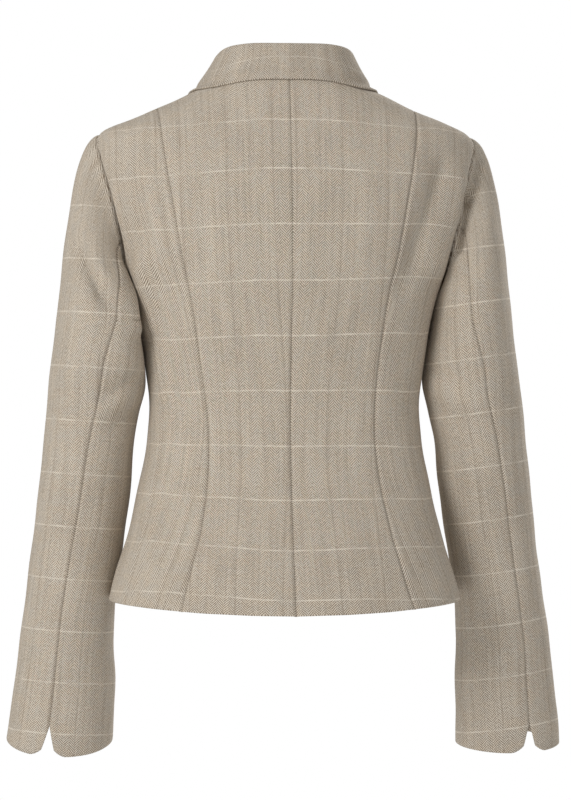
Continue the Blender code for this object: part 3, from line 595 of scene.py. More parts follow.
def s_at_y(y, z, face):
    """Where a point that stands y behind or in front of the side line lies on the body."""
    depth = body_size(depth_name(face), z)
    angle = np.arccos(np.clip(y / depth, 0, 1) ** (SECTION_POWER / 2))
    return s_at_angle(angle, body_size("half_width", z), depth, face, 1.0)


def body_measure(points):
    """Below 1 inside the body form, 1 on it and above 1 outside it."""
    x, y, z = np.moveaxis(points, -1, 0)
    depth = np.where(y > 0, body_size("back_depth", z), body_size("front_depth", z))
    share = (np.abs(x) / body_size("half_width", z)) ** SECTION_POWER + (np.abs(y) / depth) ** SECTION_POWER
    return share ** (1 / SECTION_POWER)


def seat_on_body(points, clearance, pull):
    """Moves points that are nearer to the body than the clearance out, and pulls others in by a share."""
    steps = LIFT_STEP * np.eye(3)
    for _ in range(LIFT_PASSES):
        rises = [body_measure(points + step) - body_measure(points - step) for step in steps]
        slope = np.stack(rises, axis=-1) / (2 * LIFT_STEP)
        steepness = np.linalg.norm(slope, axis=-1)
        move = clearance - (body_measure(points) - 1) / steepness
        move = np.where(move > 0, move, pull * move)
        points = points + (move / steepness)[..., None] * slope
    return points


def fold_height(part, side, points, normals):
    """How far the folds and creases move each point of the body's left half or of a sleeve in or out."""
    height = np.zeros(points.shape[:-1])
    for fold in FOLDS + CREASES[part]:
        if fold.side != side:
            continue
        start = np.array([fold.x_top, fold.z_top])
        run = np.array([fold.x_bottom, fold.z_bottom]) - start
        flat = points[..., [0, 2]] - start
        along = np.clip(flat @ run / (run @ run), 0, 1)
        distance = np.linalg.norm(flat - along[..., None] * run, axis=-1)
        facing = smoothstep(fold.face * normals[..., 1] / FOLD_FACING)
        height += fold.depth * facing * np.exp(-((distance / fold.width) ** 2))
    x, z = 2 * math.pi * side * points[..., 0], 2 * math.pi * points[..., 2]
    ripple = RIPPLE_DEPTH * np.sin(x / RIPPLE_X + z / RIPPLE_SLANT)
    return height + ripple * np.sin(z / RIPPLE_Z - x / RIPPLE_SLANT)


def pressed(part, side, points):
    """Behind the left underarm the sleeve and the body bulge against each other, across the body."""
    if side < 0:
        return points
    x, y, z = np.moveaxis(points, -1, 0)
    level = rise_between(z, PRESS_TOP_Z, PRESS_FULL_Z) * rise_between(z, PRESS_END_Z, PRESS_LOW_Z)
    behind = smoothstep((y - PRESS_Y) / PRESS_RUN_Y)
    near = smoothstep(1 - np.abs(x - PRESS_X) / PRESS_REACH_X)
    return points + (PRESS[part] * level * behind * near)[..., None] * np.array([1.0, 0.0, 0.0])


def under_dip(side, points):
    """The left front lies under the right one near the middle of the front."""
    if side < 0:
        return 0.0
    near = rise_between(points[..., 0], DIP_END_X, DIP_FULL_X)
    return -UNDER_FRONT_DIP * near * (points[..., 1] < 0)


def mirrored(side, points):
    """The points themselves for the left side, or their mirror image for the right."""
    return points * np.array([side, 1.0, 1.0])


def on_body(side, s, z, lift=0.0):
    """Points on the cloth of one side, raised by lift, and the directions out of it."""
    points = body_form(s, z)
    normals = body_normals(s, z)
    height = fold_height("body", side, points, normals) + under_dip(side, points) + lift
    raised = pressed("body", side, points + height[..., None] * normals)
    return mirrored(side, raised), mirrored(side, normals)


def steps_between(start, end, step):
    """Even places from start to end, about a step apart, without the end."""
    count = max(1, math.ceil(abs(end - start) / step))
    return np.linspace(start, end, count + 1)[:-1]


def hem_height(s):
    """Height of the hem round the body."""
    toward_back = np.cos(np.clip(s, 0, 1) * math.pi / 2) ** 2
    toward_front = np.sin(np.clip(s - 1, 0, 1) * math.pi / 2) ** 2
    return HEM_SIDE_Z - HEM_BACK_DROP * toward_back - HEM_FRONT_DROP * toward_front


def row_height(level, s):
    """Height of a row at s: level down to the hips, then bending to the line of the hem."""
    share = np.clip((HEM_BEND_Z - level) / (HEM_BEND_Z - HEM_SIDE_Z), 0, None)
    return np.where(level < HEM_BEND_Z, HEM_BEND_Z + share * (hem_height(s) - HEM_BEND_Z), level)


def princess_x(side, level, face):
    """Distance of the shoulder-to-hem seam from the middle."""
    name = f"{SIDE_NAMES[side]}_back" if face > 0 else "front"
    return look_up(PRINCESS_SEAMS, name, level)


def princess_s(side, level, face):
    """Where the shoulder-to-hem seam crosses a row. Above its top the shoulder seam takes its place."""
    if level >= PRINCESS_TOP_Z:
        return 1.0
    return float(s_at_x(princess_x(side, level, face), level, face))


def armhole_s(level, face):
    """Where the armhole's edge, or else the shoulder or side seam, crosses a row."""
    if level >= SHOULDER_Z or level <= UNDERARM_Z:
        return 1.0
    share = (level - SHOULDER_Z) / (UNDERARM_Z - SHOULDER_Z)
    reach = ARMHOLE_BACK if face > 0 else ARMHOLE_FRONT
    y = reach * math.sin(math.pi * share**ARMHOLE_SKEW) ** ARMHOLE_ROUND
    return float(s_at_y(y, level, face))


def roll_x(z):
    """Distance of the lapel's roll line from the middle. It starts at the front edge, past the middle."""
    return -FRONT_OVERLAP + (ROLL_NECK_X + FRONT_OVERLAP) * (z - BREAK_Z) / (NECK_Z - BREAK_Z)


def front_edge_s(level):
    """Where the roll line, or the front edge below it, crosses a row."""
    return float(s_at_x(np.float64(max(roll_x(level), -FRONT_OVERLAP)), level, -1))


def armhole_levels(rows):
    """Heights from the shoulder to the underarm, closer together toward both."""
    even = np.linspace(0, 1, rows + 1)
    closer = (1 - np.cos(math.pi * even)) / 2
    return SHOULDER_Z + (UNDERARM_Z - SHOULDER_Z) * (even + ARMHOLE_CLOSER * (closer - even))


def places_across(width, count):
    """Places from 0 to width with close steps at both edges, for a grid of a fixed number of columns."""
    near = EDGE_STEPS * min(1.0, EDGE_SHARE * width / EDGE_STEPS[-1])
    middle = np.linspace(near[-1], width - near[-1], count + 2)[1:-1]
    return np.concatenate([near, middle, (width - near)[::-1]])


def near_edge(distance, run):
    """Falls from 1 at a seam's edge to 0 over a run."""
    return np.exp(-((distance / run) ** 2))


# Meshes
# A sheet's seam mark is painted shadow: how much darker each point is painted near seams, more at the
# armhole, and over the collar
Sheet = namedtuple("Sheet", "points normals uv seam lines free")


def add_object(name, points, faces, material):
    """A smooth shaded object from points and faces."""
    mesh = bpy.data.meshes.new(name)
    mesh.from_pydata(np.asarray(points).tolist(), [], faces)
    mesh.materials.append(material)
    mesh.shade_smooth()
    piece = bpy.data.objects.new(name, mesh)
    bpy.context.scene.collection.objects.link(piece)
    return piece


def cloth_piece(name, sheet, material):
    """A closed thin shell behind a sheet's grid of outer points. Free edges are rounded and seam edges meet.

    The sheet's free sides are named out of top, bottom, first and last. Its marks are seam, how much painted
    shadow each point gets near a seam or over the collar, and lines, how strongly lines across the cloth show
    there.
    """
    outer, normals = sheet.points, sheet.normals
    rows, columns = outer.shape[:2]
    inner = outer - WALL * normals
    index = np.arange(rows * columns).reshape(rows, columns)
    quads = np.stack([index[:-1, :-1], index[:-1, 1:], index[1:, 1:], index[1:, :-1]], axis=-1).reshape(-1, 4)
    count = rows * columns
    faces = [quads, quads[:, ::-1] + count]
    rim = [(0, c) for c in range(columns)]
    rim += [(r, columns - 1) for r in range(1, rows)]
    rim += [(rows - 1, c) for c in range(columns - 2, -1, -1)]
    rim += [(r, 0) for r in range(rows - 2, 0, -1)]
    rim = np.array(rim)
    r, c = rim[:, 0], rim[:, 1]
    bulge = np.zeros((len(rim), 3))
    for word, on_side, step in (
        ("top", r == 0, (1, 0)), ("bottom", r == rows - 1, (-1, 0)),
        ("first", c == 0, (0, 1)), ("last", c == columns - 1, (0, -1)),
    ):
        rr, cc = r[on_side], c[on_side]
        reach = RIM_BULGE if word in sheet.free else SEAM_CLOSE
        bulge[on_side] += reach * unit(outer[rr, cc] - outer[rr + step[0], cc + step[1]])
    middle = (outer[r, c] + inner[r, c]) / 2 + bulge
    points = np.concatenate([outer.reshape(-1, 3), inner.reshape(-1, 3), middle])
    front = r * columns + c
    behind = front + count
    between = 2 * count + np.arange(len(rim))
    after = np.roll(np.arange(len(rim)), -1)
    faces.append(np.stack([front, between, between[after], front[after]], axis=-1))
    faces.append(np.stack([between, behind, behind[after], between[after]], axis=-1))
    quads = np.concatenate(faces)
    first = points[quads]
    volume = np.einsum("ij,ij->i", first[:, 0], np.cross(first[:, 1], first[:, 2])).sum()
    volume += np.einsum("ij,ij->i", first[:, 0], np.cross(first[:, 2], first[:, 3])).sum()
    if volume < 0:
        quads = quads[:, ::-1]
    piece = add_object(name, points, quads.tolist(), material)

    source = np.concatenate([np.arange(count), np.arange(count), front])
    mesh = piece.data
    corners = np.empty(len(mesh.loops), np.int32)
    mesh.loops.foreach_get("vertex_index", corners)
    layer = mesh.uv_layers.new(name="cloth")
    layer.data.foreach_set("uv", sheet.uv.reshape(-1, 2)[source[corners]].astype(np.float32).ravel())
    # The seam mark carries the painted shadow into the material
    for mark in ("seam", "lines"):
        shade = mesh.attributes.new(mark, "FLOAT", "POINT")
        shade.data.foreach_set("value", getattr(sheet, mark).ravel()[source].astype(np.float32))
    return piece


def warp_steps(points, across):
    """Lengths along the cloth's warp from row to row, from the points and their places across the cloth."""
    square = distances(points) ** 2 - np.diff(across, axis=0) ** 2
    return np.sqrt(np.clip(square, SMALLEST_SQUARE, None))


def seam_roll_and_painted_shadow(edges):
    """How far the cloth is rolled in near seams, and how much painted shadow it gets there. An edge is a
    distance and a share.
    """
    roll = SEAM_ROLL_DEPTH * sum(share * near_edge(distance, SEAM_ROLL_RUN) for distance, share in edges)
    seam = np.max([share * near_edge(distance, SEAM_PAINTED_SHADOW_RUN) for distance, share in edges], axis=0)
    return roll, seam


def body_rows(top):
    """Heights of the rows of a body panel from its top to the hem."""
    parts = []
    if top > PRINCESS_TOP_Z:
        parts.append(steps_between(top, PRINCESS_TOP_Z, ROW_STEP))
        top = PRINCESS_TOP_Z
    ease = np.linspace(0, 1, SHOULDER_ROWS + 1)[:-1] ** SHOULDER_EASE
    parts.append(top + (SHOULDER_Z - top) * ease)
    parts.append(armhole_levels(ARMHOLE_ROWS)[:-1])
    parts.append(steps_between(UNDERARM_Z, HEM_SIDE_Z, ROW_STEP))
    parts.append([HEM_SIDE_Z])
    return np.concatenate(parts)


def tip_height(side, face):
    """Where the seam from the shoulder leaves the shoulder line."""
    z = PRINCESS_TOP_Z
    while body_size("half_width", z) < princess_x(side, z, face) + TIP_STEP:
        z -= TIP_STEP
    return z


def body_panel(side, face, top, first_s, last_s, across_from, free):
    """A panel of the body between two seams, with the cloth's own coordinates.

    across_from gives, for a height, the length across the body at which the cloth's own coordinate is 0.
    """
    levels = body_rows(top)
    start = np.array([first_s(level) for level in levels])
    end = np.array([last_s(level) for level in levels])
    girth = quarter_length(levels, face)
    widths = (end - start) * girth - SEAM_GAP
    count = math.ceil(widths.max() / COLUMN_STEP)
    across = np.array([places_across(width, count) for width in widths])
    s = start[:, None] + (SEAM_GAP / 2 + across) / girth[:, None]
    z = row_height(levels[:, None], s)
    points, normals = on_body(side, s, z)
    edges = [(across, centre_seam_share(levels)[:, None] if start.max() == 0 else 1.0)]
    if "last" not in free:
        edges.append((widths[:, None] - across, 1.0))
    roll, seam = seam_roll_and_painted_shadow(edges)
    x = np.abs(points[..., 0])
    u = across_body(points, s, z, face) - across_from(np.minimum(levels, GRAIN_TOP_Z))[:, None]
    start_row = int(np.argmin(np.abs(levels - LINE_LEVEL)))
    v = running_sum(warp_steps(points, u) * warp_stretch((z[1:] + z[:-1]) / 2))
    v = v - v[start_row] + (LINE_LEVEL - levels[start_row])
    if top <= PRINCESS_TOP_Z:
        # Painted shadow, stronger and wider along the armhole seam
        from_armhole = widths[:, None] - across if face > 0 else across
        sewn_in = ((levels < SHOULDER_Z) & (levels > UNDERARM_Z))[:, None]
        seam = np.maximum(seam, ARMHOLE_PAINTED_SHADOW * sewn_in * near_edge(from_armhole, ARMHOLE_PAINTED_SHADOW_RUN))
        row = int(np.argmin(np.abs(levels - GRAIN_TOP_Z)))
        order = np.argsort(x[row])
        base = np.interp(x, x[row][order], v[row][order]) + levels[row] - GRAIN_TOP_Z
        v = np.where(z > GRAIN_TOP_Z, base - warp_rise(x, z, face), v)
    sag = look_up(LINE_SAGS, SIDE_NAMES[side], z)
    v -= sag * np.clip((x - SAG_START_X) / (SAG_FULL_X - SAG_START_X), 0, 1)
    lines = look_up(LINE_SHOWS, SIDE_NAMES[side], x, by="x")
    return Sheet(points - roll[..., None] * normals, normals, np.stack([u, v], axis=-1), seam, lines, free)


def warp_stretch(z):
    """How much longer the cloth is than the form at a height."""
    return look_up(GRAIN_LEVELS, "stretch", z)


def warp_rise(x, z, face):
    """Length of the warp from GRAIN_TOP_Z up to a point of the shoulder, as it runs straight up the form."""
    heights = GRAIN_TOP_Z + (z[..., None] - GRAIN_TOP_Z) * np.linspace(0, 1, WARP_STEPS)
    share = np.clip(x[..., None] / body_size("half_width", heights), 0, 1) ** SECTION_POWER
    y = body_size(depth_name(face), heights) * (1 - share) ** (1 / SECTION_POWER)
    steps = np.hypot(np.diff(y, axis=-1), np.diff(heights, axis=-1))
    return (steps * warp_stretch((heights[..., 1:] + heights[..., :-1]) / 2)).sum(axis=-1)


def centre_seam_share(z):
    """How deep the centre-back seam is: pressed flatter over the upper back."""
    return CENTRE_SEAM_SHARE + (1 - CENTRE_SEAM_SHARE) * smoothstep((CENTRE_SEAM_Z - z) / CENTRE_SEAM_RUN)


def across_body(points, s, z, face):
    """Length across the cloth from the middle. Above the upper back the warp runs straight up."""
    level = from_middle(s, face) * quarter_length(np.minimum(z, GRAIN_TOP_Z), face)
    straight = s_at_x(np.abs(points[..., 0]), np.full_like(z, GRAIN_TOP_Z), face)
    straight = from_middle(straight, face) * quarter_length(GRAIN_TOP_Z, face)
    return np.where(z > GRAIN_TOP_Z, straight, level)


def panel_middle(side, face, z):
    """Length across the body to the middle of a side panel."""
    seam = np.array([princess_s(side, level, face) for level in z])
    return (from_middle(seam, face) + 1) / 2 * quarter_length(z, face)


def body_sheets():
    """The eight panels of the body."""
    sheets = {}
    for word, side in SIDES.items():
        seam = {face: partial(princess_s, side, face=face) for face in (1, -1)}
        armhole = {face: partial(armhole_s, face=face) for face in (1, -1)}
        sheets[f"back_{word}"] = body_panel(
            side, 1, NECK_Z, lambda level: 0.0, seam[1],
            lambda z: STRIPE_START[side] - look_up(GRAIN_LEVELS, "centre_cut", z), ("bottom",),
        )
        sheets[f"side_back_{word}"] = body_panel(
            side, 1, tip_height(side, 1), seam[1], armhole[1],
            lambda z: panel_middle(side, 1, z) + SIDE_STRIPE[side], ("bottom",),
        )
        sheets[f"side_front_{word}"] = body_panel(
            side, -1, tip_height(side, -1), armhole[-1], seam[-1],
            partial(panel_middle, side, -1), ("bottom",),
        )
        sheets[f"front_{word}"] = body_panel(
            side, -1, NECK_Z, seam[-1], front_edge_s,
            lambda z: np.full(len(z), FRONT_STRIPE), ("bottom", "last"),
        )
    return sheets


# Sleeves
def sleeve_size(name, z):
    """A size of the sleeve at height z."""
    return look_up(SLEEVE_RINGS, name, z)


def sleeve_ring_points(side, z, shares, top_at, back_at, front_at):
    """Points round the sleeve at height z, one for each share of the armhole's length."""
    back_angle = sleeve_size(f"{SIDE_NAMES[side]}_seam", z)
    front_angle = sleeve_size("front_seam", z)
    places = [0.0, back_at, top_at, front_at, 1.0]
    angles = [180.0, back_angle, 0.0, front_angle, -180.0]
    angle = np.radians(np.interp(shares, places, angles))
    slope = (sleeve_size("y", z - SLOPE_Z) - sleeve_size("y", z + SLOPE_Z)) / (2 * SLOPE_Z)
    lean = math.atan(-slope)
    reach = sleeve_size("half_depth", z) * np.sin(angle)
    fuller = SLEEVE_FULLER[side] * rise_between(z, FULLER_END_Z, FULLER_FULL_Z)
    corner = SLEEVE_CORNER[side] * rise_between(z, CORNER_END_Z, CORNER_FULL_Z)
    inner_back = (np.cos(angle) < 0) & (np.sin(angle) > 0)
    squarer = 1 + corner * np.where(inner_back, np.sin(2 * angle) ** 2, 0)
    reach = reach * squarer
    x = sleeve_size("x", z) + fuller + (sleeve_size("half_width", z) + fuller) * squarer * np.cos(angle)
    swing = SLEEVE_SWING[side] * rise_between(z, SWING_END_Z, SWING_FULL_Z)
    y = sleeve_size("y", z) + swing + reach * math.cos(lean)
    near_cuff = smoothstep(1 - (z - CUFF_Z) / CUFF_SLOPE_RUN)
    lower = reach * math.sin(lean) + near_cuff * (CUFF_SLOPE[side] * reach + CUFF_DROP[side])
    return np.stack([x, y, z - lower], axis=-1)


def seam_columns(side):
    """The numbers of the armhole's points at the sleeve's back seam and front seam."""
    back = ARMHOLE_FINE - round(ARMHOLE_FINE * BACK_SEAM_PLACE[side])
    return back, ARMHOLE_FINE + round(ARMHOLE_FINE * FRONT_SEAM_PLACE)


def nearest_on(points, line):
    """How far each point is from a line of points, and the number of the nearest one."""
    away = np.full(points.shape[:-1], np.inf)
    number = np.zeros(points.shape[:-1], int)
    for i, place in enumerate(line):
        apart = np.linalg.norm(points - place, axis=-1)
        number[apart < away] = i
        away = np.minimum(away, apart)
    return away, number


def sleeve_form(side):
    """One sleeve as if on the left, without its own folds.

    Gives its points, normals, ring heights and distances from the armhole seam.
    """
    levels = armhole_levels(ARMHOLE_FINE)
    back = [(armhole_s(level, 1), level) for level in levels[::-1]]
    front = [(armhole_s(level, -1), level) for level in levels[1:-1]]
    s, z = np.array(back + front).T
    edge = body_form(s, z)
    out = body_normals(s, z)
    run = unit(np.roll(edge, -1, axis=0) - np.roll(edge, 1, axis=0))
    inward = unit(np.cross(out, run))
    middle = edge.mean(axis=0)
    inward *= np.sign(np.sum(inward * (middle - edge), axis=-1, keepdims=True))
    drop = (SHOULDER_Z - z) / (SHOULDER_Z - UNDERARM_Z)
    turn = np.clip((drop - CAP_TURN_START) / (1 - CAP_TURN_START), 0, 1) ** CAP_TURN_EASE
    angle = np.radians(CAP_RISE_ANGLE + (180.0 - CAP_RISE_ANGLE) * turn)[:, None]
    start_way = np.cos(angle) * inward + np.sin(angle) * out
    lift = fold_height("body", side, edge, out)[:, None] * out
    start = edge + SEAM_GAP * (np.cos(angle / 2) * inward + np.sin(angle / 2) * out)
    start_normals = np.cos(angle) * out - np.sin(angle) * inward

    lengths = distances(np.vstack([edge, edge[:1]]))
    shares = running_sum(lengths)[:-1] / lengths.sum()
    back_column, front_column = seam_columns(side)
    seam_shares = shares[[ARMHOLE_FINE, back_column, front_column]]
    heights = np.append(steps_between(SLEEVE_TOP_Z, CUFF_Z, ROW_STEP), CUFF_Z)
    rings = [sleeve_ring_points(side, height, shares, *seam_shares) for height in heights]

    start_pull = (CAP_START_TOP[side] + (CAP_START_UNDER - CAP_START_TOP[side]) * smoothstep(drop))[:, None]
    end_pull = (CAP_END_TOP + (CAP_END_UNDER - CAP_END_TOP) * smoothstep(drop))[:, None]
    end_way = unit(rings[1] - rings[0])
    cap = []
    for t in np.linspace(0, 1, CAP_FINE + 1)[:-1]:
        cap.append(hermite(t, start, start_pull * start_way, rings[0], end_pull * end_way))
    points = np.array(cap + rings)
    inner_rows = slice(1, CAP_FINE)
    for _ in range(CAP_SMOOTHING):
        beside = np.roll(points[inner_rows], 1, axis=1) + np.roll(points[inner_rows], -1, axis=1)
        points[inner_rows] = points[inner_rows] / 2 + beside / 4
    away, number = nearest_on(points, start)
    points = points + near_edge(away, LIFT_RUN)[..., None] * lift[number]
    around = np.roll(points, -1, axis=1) - np.roll(points, 1, axis=1)
    downward = np.gradient(points, axis=0)
    normals = unit(np.cross(around, downward))
    normals[0] = start_normals
    wrap = list(range(points.shape[1])) + [0]
    # The rows of the head have no height of their own and count as far above the cuff
    heights = np.concatenate([np.zeros(CAP_FINE), heights])
    return points[:, wrap], normals[:, wrap], heights, away[:, wrap]


def sway(points):
    """Both sleeves hang a little toward the wearer's right, more so lower down."""
    share = rise_between(points[..., 2], SLEEVE_TOP_Z, CUFF_Z)
    return points - np.stack([SLEEVE_SWAY * share, 0 * share, 0 * share], axis=-1)


def resampled(grid, places, columns):
    """Each row of a grid, by its running length, at new places."""
    result = np.empty(places.shape + grid.shape[2:])
    for row in range(len(grid)):
        for axis in range(grid.shape[2]):
            result[row, :, axis] = np.interp(places[row], columns[row], grid[row, :, axis])
    return result


def sleeve_lines(side, grid, across):
    """The cloth's own coordinate along a sleeve: level with its lines, and by length over the cap."""
    lines = SLEEVE_LINES[side]
    rise = lines.rise * (np.abs(grid[..., 0]) - SLEEVE_LINE_X)
    level = (lines.first_z + rise - grid[..., 2]) * WEFT_REPEAT / lines.pitch
    on_cap = (grid[1:, :, 2] + grid[:-1, :, 2]) / 2 > CAP_LINE_Z
    total = running_sum(np.where(on_cap, warp_steps(grid, across), np.diff(level, axis=0)))
    return level[-1] + total - total[-1]


def sleeve_piece(side, folded, normals, heights, columns, vent_first):
    """One piece of a sleeve between its two seams, with the vent cut into one of them."""
    points, normals = folded[:, columns], normals[:, columns]
    running = running_length(points, 1)
    widths = running[:, -1]
    vent = np.clip((CUFF_Z + VENT_HEIGHT - heights) / VENT_HEIGHT, 0, 1) * VENT_HALF_WIDTH
    low = SEAM_GAP / 2 + (vent if vent_first else 0)
    high = widths - SEAM_GAP / 2 - (0 if vent_first else vent)
    count = math.ceil(widths.max() / COLUMN_STEP)
    low = np.broadcast_to(low, widths.shape)
    high = np.broadcast_to(high, widths.shape)
    places = np.array([a + places_across(b - a, count) for a, b in zip(low, high)])
    grid = resampled(points, places, running)
    way = unit(resampled(normals, places, running))
    from_low, from_high = places - low[:, None], high[:, None] - places
    in_vent = (vent > 0)[:, None]
    near_vent, near_plain = (from_low, from_high) if vent_first else (from_high, from_low)
    from_armhole = running_length(grid)
    vent_share = np.where(in_vent, VENT_ROLL_SHARE, 1.0)
    edges = [(near_plain, 1.0), (near_vent, vent_share), (from_armhole, 1.0)]
    roll, seam = seam_roll_and_painted_shadow(edges)
    # Painted shadow, stronger and wider along the armhole seam
    seam = np.maximum(seam, ARMHOLE_PAINTED_SHADOW * near_edge(from_armhole, ARMHOLE_PAINTED_SHADOW_RUN))
    u = places - widths[:, None] / 2
    v = sleeve_lines(side, grid, u)
    grid = grid - roll[..., None] * way
    grid[0] -= ARMHOLE_TUCK * unit(grid[1] - grid[0])
    upward = unit(grid[-2] - grid[-1])
    rows_up = np.clip(1 - (heights - CUFF_Z) / (CUFF_CORNER_RISE * CUFF_CORNER), 0, 1)[:, None]
    corner = CUFF_CORNER * np.clip(1 - near_vent / CUFF_CORNER_RUN, 0, 1) ** 2 * rows_up
    grid = grid + corner[..., None] * upward[None]
    lines = SLEEVE_LINE_SHOW[side] * rise_between(grid[..., 2], CAP_HIDE_Z, CAP_SHOW_Z)
    return Sheet(grid, way, np.stack([u, v], axis=-1), seam, lines, ("bottom",))


def sleeve_sheets():
    """Each sleeve's top and under piece, parted at the back seam and the front seam."""
    sheets = {}
    for word, side in SIDES.items():
        back, front = seam_columns(side)
        top_columns = list(range(back, front + 1))
        under_columns = list(range(front, 2 * ARMHOLE_FINE)) + list(range(0, back + 1))
        form, form_normals, heights, away = sleeve_form(side)
        height = fold_height("sleeve", side, form, form_normals) * smoothstep(away / FOLD_FADE)
        folded = pressed("sleeve", side, form + height[..., None] * form_normals)
        shape = sway(mirrored(side, folded)), mirrored(side, form_normals), heights
        sheets[f"top_sleeve_{word}"] = sleeve_piece(side, *shape, top_columns, True)
        sheets[f"under_sleeve_{word}"] = sleeve_piece(side, *shape, under_columns, False)
    return sheets


# Lapels and collar
def lapel_outline(rows, columns):
    """Places on the front, as distance from the middle and height, from the roll line to the lapel's edge."""
    roll_z = BREAK_Z + (GORGE_Z - BREAK_Z) * rows
    roll = np.stack([roll_x(roll_z), roll_z], axis=-1)
    start, tip = np.array([-FRONT_OVERLAP, BREAK_Z]), np.array([LAPEL_TIP_X, LAPEL_TIP_Z])
    chord = tip - start
    outward = np.array([-chord[1], chord[0]]) / np.linalg.norm(chord)
    outward *= np.sign(outward[0])
    share = ((rows - rows[0]) / (rows[-1] - rows[0]))[:, None]
    belly = LAPEL_BELLY * np.sin(math.pi * share) * outward
    low_edge = roll[0] + TIP_SHARE * chord
    edge = low_edge + (tip - low_edge) * share + belly
    notch = np.array([NOTCH_X, NOTCH_Z - GORGE_GAP])
    corners = [0, NOTCH_PLACE, 1]
    top = np.stack([
        np.interp(columns, corners, [roll[-1, 0], notch[0], tip[0]]),
        np.interp(columns, corners, [roll[-1, 1] - GORGE_GAP, notch[1], tip[1]]),
    ], axis=-1)
    across = columns[None, :, None]
    plain = (1 - across) * roll[:, None] + across * edge[:, None]
    return plain + (share**LAPEL_TOP_EASE)[:, :, None] * (top - plain[-1])[None]


def lapel_sheets():
    """Each lapel lies on its front, turned back along the roll line."""
    sheets = {}
    columns = np.linspace(0, 1, LAPEL_COLUMNS + 1)
    for word, side in SIDES.items():
        flat = lapel_outline(np.linspace(LAPEL_START[side], 1, LAPEL_ROWS + 1), columns)
        x, z = flat[..., 0], flat[..., 1]
        points, normals = on_body(side, s_at_x(x, z, -1), z, LAYER_GAP + WALL)
        u = x * math.cos(LAPEL_GRAIN) - z * math.sin(LAPEL_GRAIN)
        v = -x * math.sin(LAPEL_GRAIN) - z * math.cos(LAPEL_GRAIN)
        uv = np.stack([u, v], axis=-1)
        free = ("first", "last", "bottom", "top")
        sheets[f"lapel_{word}"] = Sheet(points, normals, uv, np.zeros_like(u), np.ones_like(u), free)
    return sheets


def collar_section(seam, crown, middle, edge, radius):
    """A folded strip: up the stand, over the rounded crown, and down the fall to its edge."""
    down_stand, down_fall = unit(seam - crown), unit(middle - crown)
    turn = math.pi / 2 - 0.5 * math.acos(np.clip(down_stand @ down_fall, -1, 1))
    inward, outward = unit(down_stand + down_fall), unit(down_fall - down_stand)
    centre = crown + radius * inward
    round_top = [
        centre + radius * (math.sin(angle) * outward - math.cos(angle) * inward)
        for angle in np.linspace(-turn, turn, CROWN_FINE + 1)
    ]
    stand = [seam + (round_top[0] - seam) * t for t in np.linspace(0, 1, STAND_FINE + 1)[:-1]]
    path = np.array([round_top[-1], middle, edge])
    places = np.linspace(0, 1, FALL_FINE + 1)[1:]
    fall = np.stack([smooth_table([0.0, 0.5, 1.0], path[:, i], places) for i in range(3)], axis=-1)
    return np.array(stand + round_top + list(fall))


def settled_collar(points):
    """The fall rests on the back and shoulders, and toward the gorge the whole strip does."""
    rests = smoothstep((-points[..., 1] - COLLAR_REST_START) / COLLAR_REST_RUN)
    rests[:, -FALL_FINE:] = 1.0
    pull = np.zeros_like(rests)
    places = np.linspace(0, 1, FALL_FINE + 1)[1:]
    pull[:, -FALL_FINE:] = smoothstep((places - FALL_REST_START) / (1 - FALL_REST_START))
    return points + rests[..., None] * (seat_on_body(points, COLLAR_CLEAR, pull) - points)


def collar_sheet():
    """One strip round the neck from gorge to gorge, with the stand and the fall in one piece."""
    places = column(COLLAR_SECTIONS, "place")
    half = []
    for place in np.linspace(0, 1, COLLAR_FINE + 1):
        parts = {}
        for name in ("seam", "crown", "middle", "edge"):
            values = np.array(column(COLLAR_SECTIONS, name), float)
            parts[name] = np.array([smooth_table(places, values[:, i], place) for i in range(3)])
        radius = float(look_up(COLLAR_SECTIONS, "radius", place, by="place"))
        half.append(collar_section(radius=radius, **parts))
    left = settled_collar(np.array(half))
    points = np.concatenate([mirrored(-1, left[:0:-1]), left])
    around = np.gradient(points, axis=0)
    over = np.gradient(points, axis=1)
    normals = unit(np.cross(around, over))
    fall_middle = STAND_FINE + CROWN_FINE + FALL_FINE // 2
    u = running_length(points[:, fall_middle])
    u = COLLAR_WEAVE * (u - u[COLLAR_FINE])[:, None] + 0 * points[..., 0]
    v = running_length(points, 1)
    v = COLLAR_WEAVE * (v - v[:, -1:] - COLLAR_LINE)
    lines = np.full_like(u, COLLAR_LINE_SHOW)
    # The collar is painted a little darker all over
    shade = np.full_like(u, COLLAR_PAINTED_DARKENING)
    return Sheet(points, normals, np.stack([u, v], axis=-1), shade, lines, ("top", "bottom", "last"))


# Buttons and what is sewn by hand
def tube(path, radius, sides):
    """Points and faces of a round thread along a path, closed at both ends."""
    way = unit(np.gradient(path, axis=0))
    first = unit(np.cross(way, TUBE_GUIDE))
    second = np.cross(way, first)
    turns = 2 * math.pi * np.arange(sides) / sides
    ring = np.multiply.outer(np.cos(turns), first) + np.multiply.outer(np.sin(turns), second)
    points = (path[None] + radius * ring).transpose(1, 0, 2).reshape(-1, 3)
    last = (len(path) - 1) * sides
    faces = []
    for r in range(0, last, sides):
        for i in range(sides):
            j = (i + 1) % sides
            faces.append((r + i, r + j, r + sides + j, r + sides + i))
    faces.append(tuple(range(sides - 1, -1, -1)))
    faces.append(tuple(range(last, last + sides)))
    return points, faces


def joined(name, tubes, material):
    """One object from several threads."""
    points, faces = [], []
    start = 0
    for tube_points, tube_faces in tubes:
        points.append(tube_points)
        faces += [tuple(start + i for i in face) for face in tube_faces]
        start += len(tube_points)
    return add_object(name, np.concatenate(points), faces, material)


ButtonPlace = namedtuple("ButtonPlace", "seat axis across upward")


